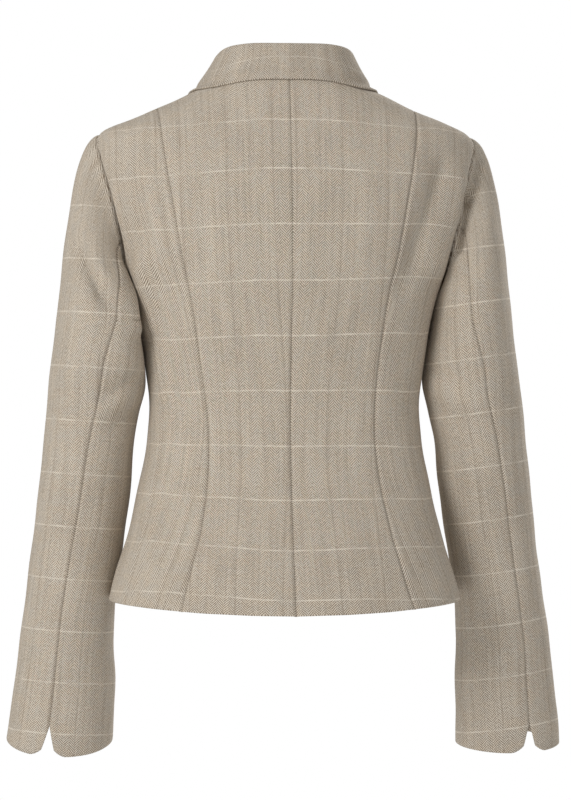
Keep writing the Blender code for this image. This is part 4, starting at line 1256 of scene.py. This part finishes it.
def button_place(z):
    """Where a button sits on the right front, its axis, and the directions across and up its face."""
    points, normals = on_body(-1, np.array([2.0]), np.array([z]), BUTTON_SEAT)
    across = unit(np.cross(normals[0], [0.0, 0.0, 1.0]))
    return ButtonPlace(points[0], normals[0], across, np.cross(across, normals[0]))


def on_button(place, x, y, height):
    """Points by how far they are across, up and out from a button's seat."""
    x, y, height = (part[..., None] for part in np.broadcast_arrays(x, y, height))
    return place.seat + x * place.across + y * place.upward + height * place.axis


def hole_places():
    """The four holes of a button, across and up from its middle."""
    half = HOLE_PITCH / 2
    return [(i * half, j * half) for i in (-1, 1) for j in (-1, 1)]


def button_height(x, y):
    """Height of a button's face: a shallow dish inside a round rim, with four holes."""
    radius = np.hypot(x, y)
    dish = smoothstep((radius - (BUTTON_RADIUS - 2 * BUTTON_RIM)) / BUTTON_RIM)
    top = BUTTON_THICKNESS - BUTTON_DISH * (1 - dish)
    past = np.clip((radius - (BUTTON_RADIUS - BUTTON_RIM)) / BUTTON_RIM, 0, 1)
    top = top - BUTTON_THICKNESS / 2 * (1 - np.sqrt(1 - past**2))
    for hole_x, hole_y in hole_places():
        top = top - HOLE_DEPTH * smoothstep(HOLE_EDGE - np.hypot(x - hole_x, y - hole_y) / HOLE_RADIUS)
    return top


def make_button(name, place, material):
    """A turned button: its face is a fine disc of rings, closed by a plain back."""
    turns = 2 * math.pi * np.arange(BUTTON_TURNS) / BUTTON_TURNS
    radii = BUTTON_RADIUS * np.sin(np.linspace(0, math.pi / 2, BUTTON_RINGS + 1)[1:])
    radii = np.append(radii, BUTTON_RADIUS - BUTTON_RIM / 2)
    x, y = np.multiply.outer(radii, np.cos(turns)), np.multiply.outer(radii, np.sin(turns))
    height = button_height(x, y)
    height[-1] = 0.0
    grid = on_button(place, x, y, height)
    middle = place.seat + button_height(0.0, 0.0) * place.axis
    points = np.concatenate([grid.reshape(-1, 3), middle[None], place.seat[None]])
    last = BUTTON_RINGS * BUTTON_TURNS
    faces = []
    for i in range(BUTTON_TURNS):
        j = (i + 1) % BUTTON_TURNS
        faces.append((len(points) - 2, i, j))
        for r in range(0, last, BUTTON_TURNS):
            faces.append((r + i, r + BUTTON_TURNS + i, r + BUTTON_TURNS + j, r + j))
        faces.append((len(points) - 1, last + j, last + i))
    return add_object(name, points, faces, material)


def button_thread(place):
    """The strands that cross a button's face, from each lower hole to the one above it."""
    half = HOLE_PITCH / 2
    t = np.linspace(-1, 1, STRAND_POINTS)
    rise = BUTTON_THICKNESS - BUTTON_DISH + THREAD_RISE * (1 - t**4) - THREAD_RADIUS - HOLE_DEPTH / 2 * t**8
    strands = []
    for side in (-1, 1):
        for strand in np.linspace(-1, 1, STRANDS) * THREAD_RADIUS * STRAND_SPREAD:
            path = on_button(place, side * half + strand, half * t, rise)
            strands.append(tube(path, THREAD_RADIUS, THREAD_SIDES))
    return strands


def buttonhole(z):
    """Whipped stitches round the slit that a button passes through, on the right front."""
    length = SLIT_LENGTH - 2 * SLIT_HALF_WIDTH
    straight = np.arange(0, length, WHIP_PITCH)
    edge = np.full(len(straight), SLIT_HALF_WIDTH)
    bend = np.linspace(-math.pi / 2, math.pi / 2, BEND_STITCHES)
    x = np.concatenate([straight, length + SLIT_HALF_WIDTH * np.cos(bend), straight[::-1]])
    y = np.concatenate([-edge, SLIT_HALF_WIDTH * np.sin(bend), edge])
    points, normals = on_body(-1, s_at_x(x - SLIT_START, z + y, -1), z + y, WHIP_RADIUS * WHIP_LIFT)
    outward = unit(np.cross(np.gradient(points, axis=0), normals))
    t = np.linspace(-1, 1, WHIP_POINTS)
    reach = t * SLIT_HALF_WIDTH * WHIP_REACH
    stitches = []
    for point, normal, out in zip(points, normals, outward):
        path = point + np.multiply.outer(reach, out) + np.multiply.outer(-WHIP_RADIUS * t**2, normal)
        stitches.append(tube(path, WHIP_RADIUS, WHIP_SIDES))
    return stitches


def make_buttons(horn, thread):
    """The buttons, which replace their solids, and the thread that holds them and edges their buttonholes."""
    buttons, sewn = {}, []
    for name, z in BUTTON_HEIGHTS.items():
        place = button_place(z)
        buttons[name] = make_button(f"horn_{name}", place, horn)
        sewn.append(joined(f"thread_{name}", button_thread(place), thread))
        sewn.append(joined(f"buttonhole_{name}", buttonhole(z), thread))
    return buttons, sewn


# Materials
def connect(tree, made, inputs):
    """Sets a node's inputs, each to a value or to another node's output."""
    for place, value in inputs.items():
        if isinstance(value, bpy.types.NodeSocket):
            tree.links.new(value, made.inputs[place])
        else:
            made.inputs[place].default_value = value


def node(tree, kind, inputs=None, **settings):
    """A shader node with its settings and inputs."""
    made = tree.nodes.new(kind)
    for key, value in settings.items():
        setattr(made, key, value)
    connect(tree, made, inputs or {})
    return made


def math_node(tree, operation, *values):
    """The output of a math node."""
    return node(tree, "ShaderNodeMath", dict(enumerate(values)), operation=operation).outputs[0]


def vector_node(tree, operation, first, second):
    """The output of a vector math node."""
    return node(tree, "ShaderNodeVectorMath", {0: first, 1: second}, operation=operation).outputs[0]


def ramp(tree, value, low, high, to_low=0.0, to_high=1.0):
    """A smooth rise of a value from low to high."""
    inputs = {0: value, 1: low, 2: high, 3: to_low, 4: to_high}
    return node(tree, "ShaderNodeMapRange", inputs, interpolation_type="SMOOTHSTEP").outputs[0]


def blend_colour(tree, factor, first, second, mode="MIX"):
    """Two colours mixed by a factor, which is held between 0 and 1."""
    inputs = {0: factor, 6: first, 7: second}
    made = node(tree, "ShaderNodeMix", inputs, data_type="RGBA", blend_type=mode, clamp_factor=True)
    return made.outputs[2]


def noise(tree, vector, grain, output="Fac"):
    """Smooth noise from 0 to 1, finer along the directions that a grain stretches."""
    if grain.stretch is not None:
        vector = vector_node(tree, "MULTIPLY", vector, grain.stretch)
    inputs = {"Vector": vector, "Scale": grain.scale, "Detail": grain.detail, "Roughness": grain.roughness}
    return node(tree, "ShaderNodeTexNoise", inputs).outputs[output]


def new_material(name):
    """A material, its node tree and its main shader."""
    material = bpy.data.materials.new(name)
    material.use_nodes = True
    return material, material.node_tree, material.node_tree.nodes["Principled BSDF"]


def srgb(red, green, blue):
    """A linear colour from display values of 0 to 255."""
    parts = np.array([red, green, blue]) / 255
    linear = np.where(parts <= 0.04045, parts / 12.92, ((parts + 0.055) / 1.055) ** 2.4)
    return (*linear.tolist(), 1.0)


# Grains of the materials: repeats in a metre, and how strongly each shows where it is added to something
Grain = namedtuple("Grain", "scale detail roughness strength stretch", defaults=(None, None))
WANDER = Grain(160.0, 2.0, 0.5, 0.0009)
YARN = Grain(950.0, 2.0, 0.6, 1.9, (1.0, 0.45, 1.0))
STREAK = Grain(1.0, 2.0, 0.6, 0.7, (330.0, 9.0, 1.0))
PATCH = Grain(22.0, 3.0, 0.55, 0.35)
TINT = Grain(75.0, 3.0, 0.6)
WEAR = Grain(60.0, 3.0, 0.5)
FUZZ = Grain(1800.0, 3.0, 0.7, 0.6)
HORN_STREAK = Grain(1.0, 4.0, 0.6, stretch=(90.0, 90.0, 380.0))
HORN_POLISH = Grain(900.0, 3.0, 0.5)
THREAD_GRAIN = Grain(2500.0, 2.0, 0.5)
MIDDLE_RANGE = (0.3, 0.7)

# Wool: its colours, with the painted shadow along seams, how the lines and stripes fade at their edges and
# with wear, and its surface
LIGHT_YARN = srgb(221, 210, 194)
DARK_YARN = srgb(129, 115, 99)
CREAM_LINE = srgb(232, 222, 206)
BROWN_STRIPE = srgb(128, 110, 92)
# Painted shadow, mixed in along seams where a seam's groove would be shaded
SEAM_PAINTED_SHADOW = srgb(66, 55, 45)
WARM_TINT = (1.02, 1.0, 0.97, 1.0)
COOL_TINT = (0.98, 1.0, 1.02, 1.0)
TWILL_EDGE = 0.75
WEAR_RANGE = (0.30, 0.68)
WEAR_SHOW = (0.30, 1.1)
LINE_EDGE = (0.0004, 0.0011)
LINE_ON_TWILL = (0.5, 0.45)
STRIPE_EDGE = (0.0004, 0.0013)
STRIPE_SHOW = 0.30
SEAM_PAINTED_SHADOW_SHOW = 0.16
WOOL_BUMP = {"Strength": 0.35, "Distance": 0.0005}
WOOL_SURFACE = {
    "Roughness": 0.92,
    "Specular IOR Level": 0.2,
    "Sheen Weight": 0.12,
    "Sheen Roughness": 0.5,
    "Sheen Tint": srgb(230, 222, 208),
}

# Horn and thread
DARK_HORN = srgb(52, 38, 28)
PALE_HORN = srgb(112, 84, 58)
HORN_RANGE = (0.35, 0.7)
HORN_ROUGHNESS = (0.28, 0.42)
DARK_THREAD = srgb(112, 97, 82)
PALE_THREAD = srgb(152, 138, 121)
THREAD_ROUGHNESS = 0.8


def distance_to_line(tree, value, repeat):
    """How far a value is from the nearest of a row of lines."""
    turn = math_node(tree, "DIVIDE", value, repeat)
    part = math_node(tree, "SUBTRACT", turn, math_node(tree, "ROUND", turn))
    return math_node(tree, "MULTIPLY", math_node(tree, "ABSOLUTE", part), repeat)


def herringbone(tree, across, along):
    """The light and dark of the twill, from 0 to 1. It turns back from column to column, half a step out."""
    columns = math_node(tree, "DIVIDE", across, HERRINGBONE_WIDTH)
    zigzag = math_node(tree, "PINGPONG", columns, 1.0)
    parity = math_node(tree, "FLOORED_MODULO", math_node(tree, "FLOOR", columns), 2.0)
    rise = math_node(tree, "MULTIPLY", zigzag, HERRINGBONE_WIDTH * TWILL_SLOPE / TWILL_RISE)
    phase = math_node(tree, "ADD", math_node(tree, "DIVIDE", along, TWILL_RISE), rise)
    phase = math_node(tree, "MULTIPLY_ADD", parity, 0.5, phase)
    wave = math_node(tree, "SINE", math_node(tree, "MULTIPLY", phase, 2 * math.pi))
    return ramp(tree, wave, -TWILL_EDGE, TWILL_EDGE)


def wool_material():
    """Herringbone wool with fine cream lines across it, faint brown stripes along it, and painted shadow
    along its seams.
    """
    material, tree, shader = new_material("herringbone_wool")
    uv = node(tree, "ShaderNodeUVMap", uv_map="cloth").outputs[0]
    shift = vector_node(tree, "SUBTRACT", noise(tree, uv, WANDER, "Color"), (0.5, 0.5, 0.5))
    shift = vector_node(tree, "MULTIPLY", shift, (WANDER.strength, WANDER.strength, 0.0))
    parts = node(tree, "ShaderNodeSeparateXYZ", {0: vector_node(tree, "ADD", uv, shift)})
    across, along = parts.outputs[0], parts.outputs[1]
    twill = herringbone(tree, across, along)

    melange = twill
    for grain in (YARN, STREAK, PATCH):
        from_mean = math_node(tree, "SUBTRACT", noise(tree, uv, grain), 0.5)
        melange = math_node(tree, "MULTIPLY_ADD", from_mean, grain.strength, melange)
    colour = blend_colour(tree, melange, DARK_YARN, LIGHT_YARN)
    tint = blend_colour(tree, ramp(tree, noise(tree, uv, TINT), *MIDDLE_RANGE), WARM_TINT, COOL_TINT)
    colour = blend_colour(tree, 1.0, colour, tint, "MULTIPLY")

    worn = ramp(tree, noise(tree, uv, WEAR), *WEAR_RANGE, *WEAR_SHOW)
    line = ramp(tree, distance_to_line(tree, along, WEFT_REPEAT), *LINE_EDGE, 1.0, 0.0)
    line = math_node(tree, "MULTIPLY", line, math_node(tree, "MULTIPLY_ADD", twill, *LINE_ON_TWILL))
    shown = node(tree, "ShaderNodeAttribute", attribute_name="lines").outputs["Fac"]
    line = math_node(tree, "MULTIPLY", math_node(tree, "MULTIPLY", line, worn), shown)
    colour = blend_colour(tree, line, colour, CREAM_LINE)
    stripe = ramp(tree, distance_to_line(tree, across, WARP_REPEAT), *STRIPE_EDGE, STRIPE_SHOW, 0.0)
    colour = blend_colour(tree, math_node(tree, "MULTIPLY", stripe, worn), colour, BROWN_STRIPE)
    # Painted shadow: the cloth is darkened toward the seam shadow's colour by the seam mark
    seam = node(tree, "ShaderNodeAttribute", attribute_name="seam").outputs["Fac"]
    colour = blend_colour(tree, math_node(tree, "MULTIPLY", seam, SEAM_PAINTED_SHADOW_SHOW), colour, SEAM_PAINTED_SHADOW)

    height = math_node(tree, "MULTIPLY_ADD", noise(tree, uv, FUZZ), FUZZ.strength, twill)
    bump = node(tree, "ShaderNodeBump", {"Height": height, **WOOL_BUMP})
    connect(tree, shader, {"Base Color": colour, "Normal": bump.outputs[0], **WOOL_SURFACE})
    return material


def horn_material():
    """Dark polished horn with paler streaks."""
    material, tree, shader = new_material("horn")
    place = node(tree, "ShaderNodeTexCoord").outputs["Object"]
    streak = ramp(tree, noise(tree, place, HORN_STREAK), *HORN_RANGE)
    polish = ramp(tree, noise(tree, place, HORN_POLISH), *MIDDLE_RANGE, *HORN_ROUGHNESS)
    colour = blend_colour(tree, streak, DARK_HORN, PALE_HORN)
    connect(tree, shader, {"Base Color": colour, "Roughness": polish})
    return material


def thread_material():
    """Taupe buttonhole thread."""
    material, tree, shader = new_material("thread")
    place = node(tree, "ShaderNodeTexCoord").outputs["Object"]
    colour = blend_colour(tree, noise(tree, place, THREAD_GRAIN), DARK_THREAD, PALE_THREAD)
    connect(tree, shader, {"Base Color": colour, "Roughness": THREAD_ROUGHNESS})
    return material


# Stage: a pale floor far below, a long lens at the photograph's angle, and soft light, brighter from the left
FLOOR_HALF = 4.5
FLOOR_Z = -1.45
PAPER = {"Base Color": (0.85, 0.85, 0.85, 1.0), "Roughness": 0.9}
SENSOR_WIDTH = 36.0
LENS = 144.0
LENS_SHIFT = 1 / 800
VIEW_END = 60.0
CAMERA_YAW = math.radians(5)
CAMERA_DISTANCE = 3.2
CAMERA_Z = -0.32
WHITE = (1.0, 1.0, 1.0, 1.0)
WORLD_LIGHT = 0.52
LAMP_PLACES = {"key": (2.1, 2.5, 0.8), "front_key": (-2.1, -2.5, 0.8)}
LAMP_AIM = (0.0, 0.0, -0.3)
LAMP_SIZE = 1.2
LAMP_POWER = 57.0


def add_aimed(name, data, place, aim):
    """A camera or a lamp that looks from a place toward a point."""
    made = bpy.data.objects.new(name, data)
    made.location = place
    made.rotation_mode = "QUATERNION"
    made.rotation_quaternion = (Vector(aim) - made.location).to_track_quat("-Z", "Y")
    bpy.context.scene.collection.objects.link(made)
    return made


def make_stage():
    """The floor, the camera, the white world and the lamps."""
    scene = bpy.context.scene
    paper, tree, shader = new_material("paper")
    connect(tree, shader, PAPER)
    corners = [(x * FLOOR_HALF, y * FLOOR_HALF, FLOOR_Z) for x, y in ((-1, -1), (1, -1), (1, 1), (-1, 1))]
    floor = add_object("floor", corners, [(0, 1, 2, 3)], paper)

    camera = bpy.data.cameras.new("camera")
    camera.sensor_width = SENSOR_WIDTH
    camera.lens = LENS
    camera.shift_x = LENS_SHIFT
    camera.clip_end = VIEW_END
    place = (CAMERA_DISTANCE * math.sin(CAMERA_YAW), CAMERA_DISTANCE * math.cos(CAMERA_YAW), CAMERA_Z)
    scene.camera = add_aimed("camera", camera, place, (0.0, 0.0, CAMERA_Z))

    world = bpy.data.worlds.new("studio")
    world.use_nodes = True
    tree = world.node_tree
    light = tree.nodes["Background"]
    connect(tree, light, {"Color": WHITE, "Strength": WORLD_LIGHT})
    white = node(tree, "ShaderNodeBackground", {"Color": WHITE, "Strength": 1.0})
    seen = node(tree, "ShaderNodeLightPath").outputs["Is Camera Ray"]
    mixed = node(tree, "ShaderNodeMixShader", {0: seen, 1: light.outputs[0], 2: white.outputs[0]})
    connect(tree, tree.nodes["World Output"], {"Surface": mixed.outputs[0]})
    scene.world = world

    for name, place in LAMP_PLACES.items():
        lamp = bpy.data.lights.new(name, "AREA")
        lamp.size = LAMP_SIZE
        lamp.energy = LAMP_POWER
        add_aimed(name, lamp, place, LAMP_AIM)
    scene.view_settings.view_transform = "Standard"


def declare(cloth, buttons, sewn):
    """Says what each piece replaces and rides on."""
    for name, piece in {**cloth, **buttons}.items():
        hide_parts(name)
    for piece in [*cloth.values(), *buttons.values(), *sewn]:
        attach(piece, "root")


def main():
    """Builds and declares every piece and sets the stage."""
    wool = wool_material()
    sheets = {**body_sheets(), **sleeve_sheets(), **lapel_sheets(), "collar": collar_sheet()}
    cloth = {name: cloth_piece(f"wool_{name}", sheet, wool) for name, sheet in sheets.items()}
    buttons, sewn = make_buttons(horn_material(), thread_material())
    declare(cloth, buttons, sewn)
    make_stage()


main()
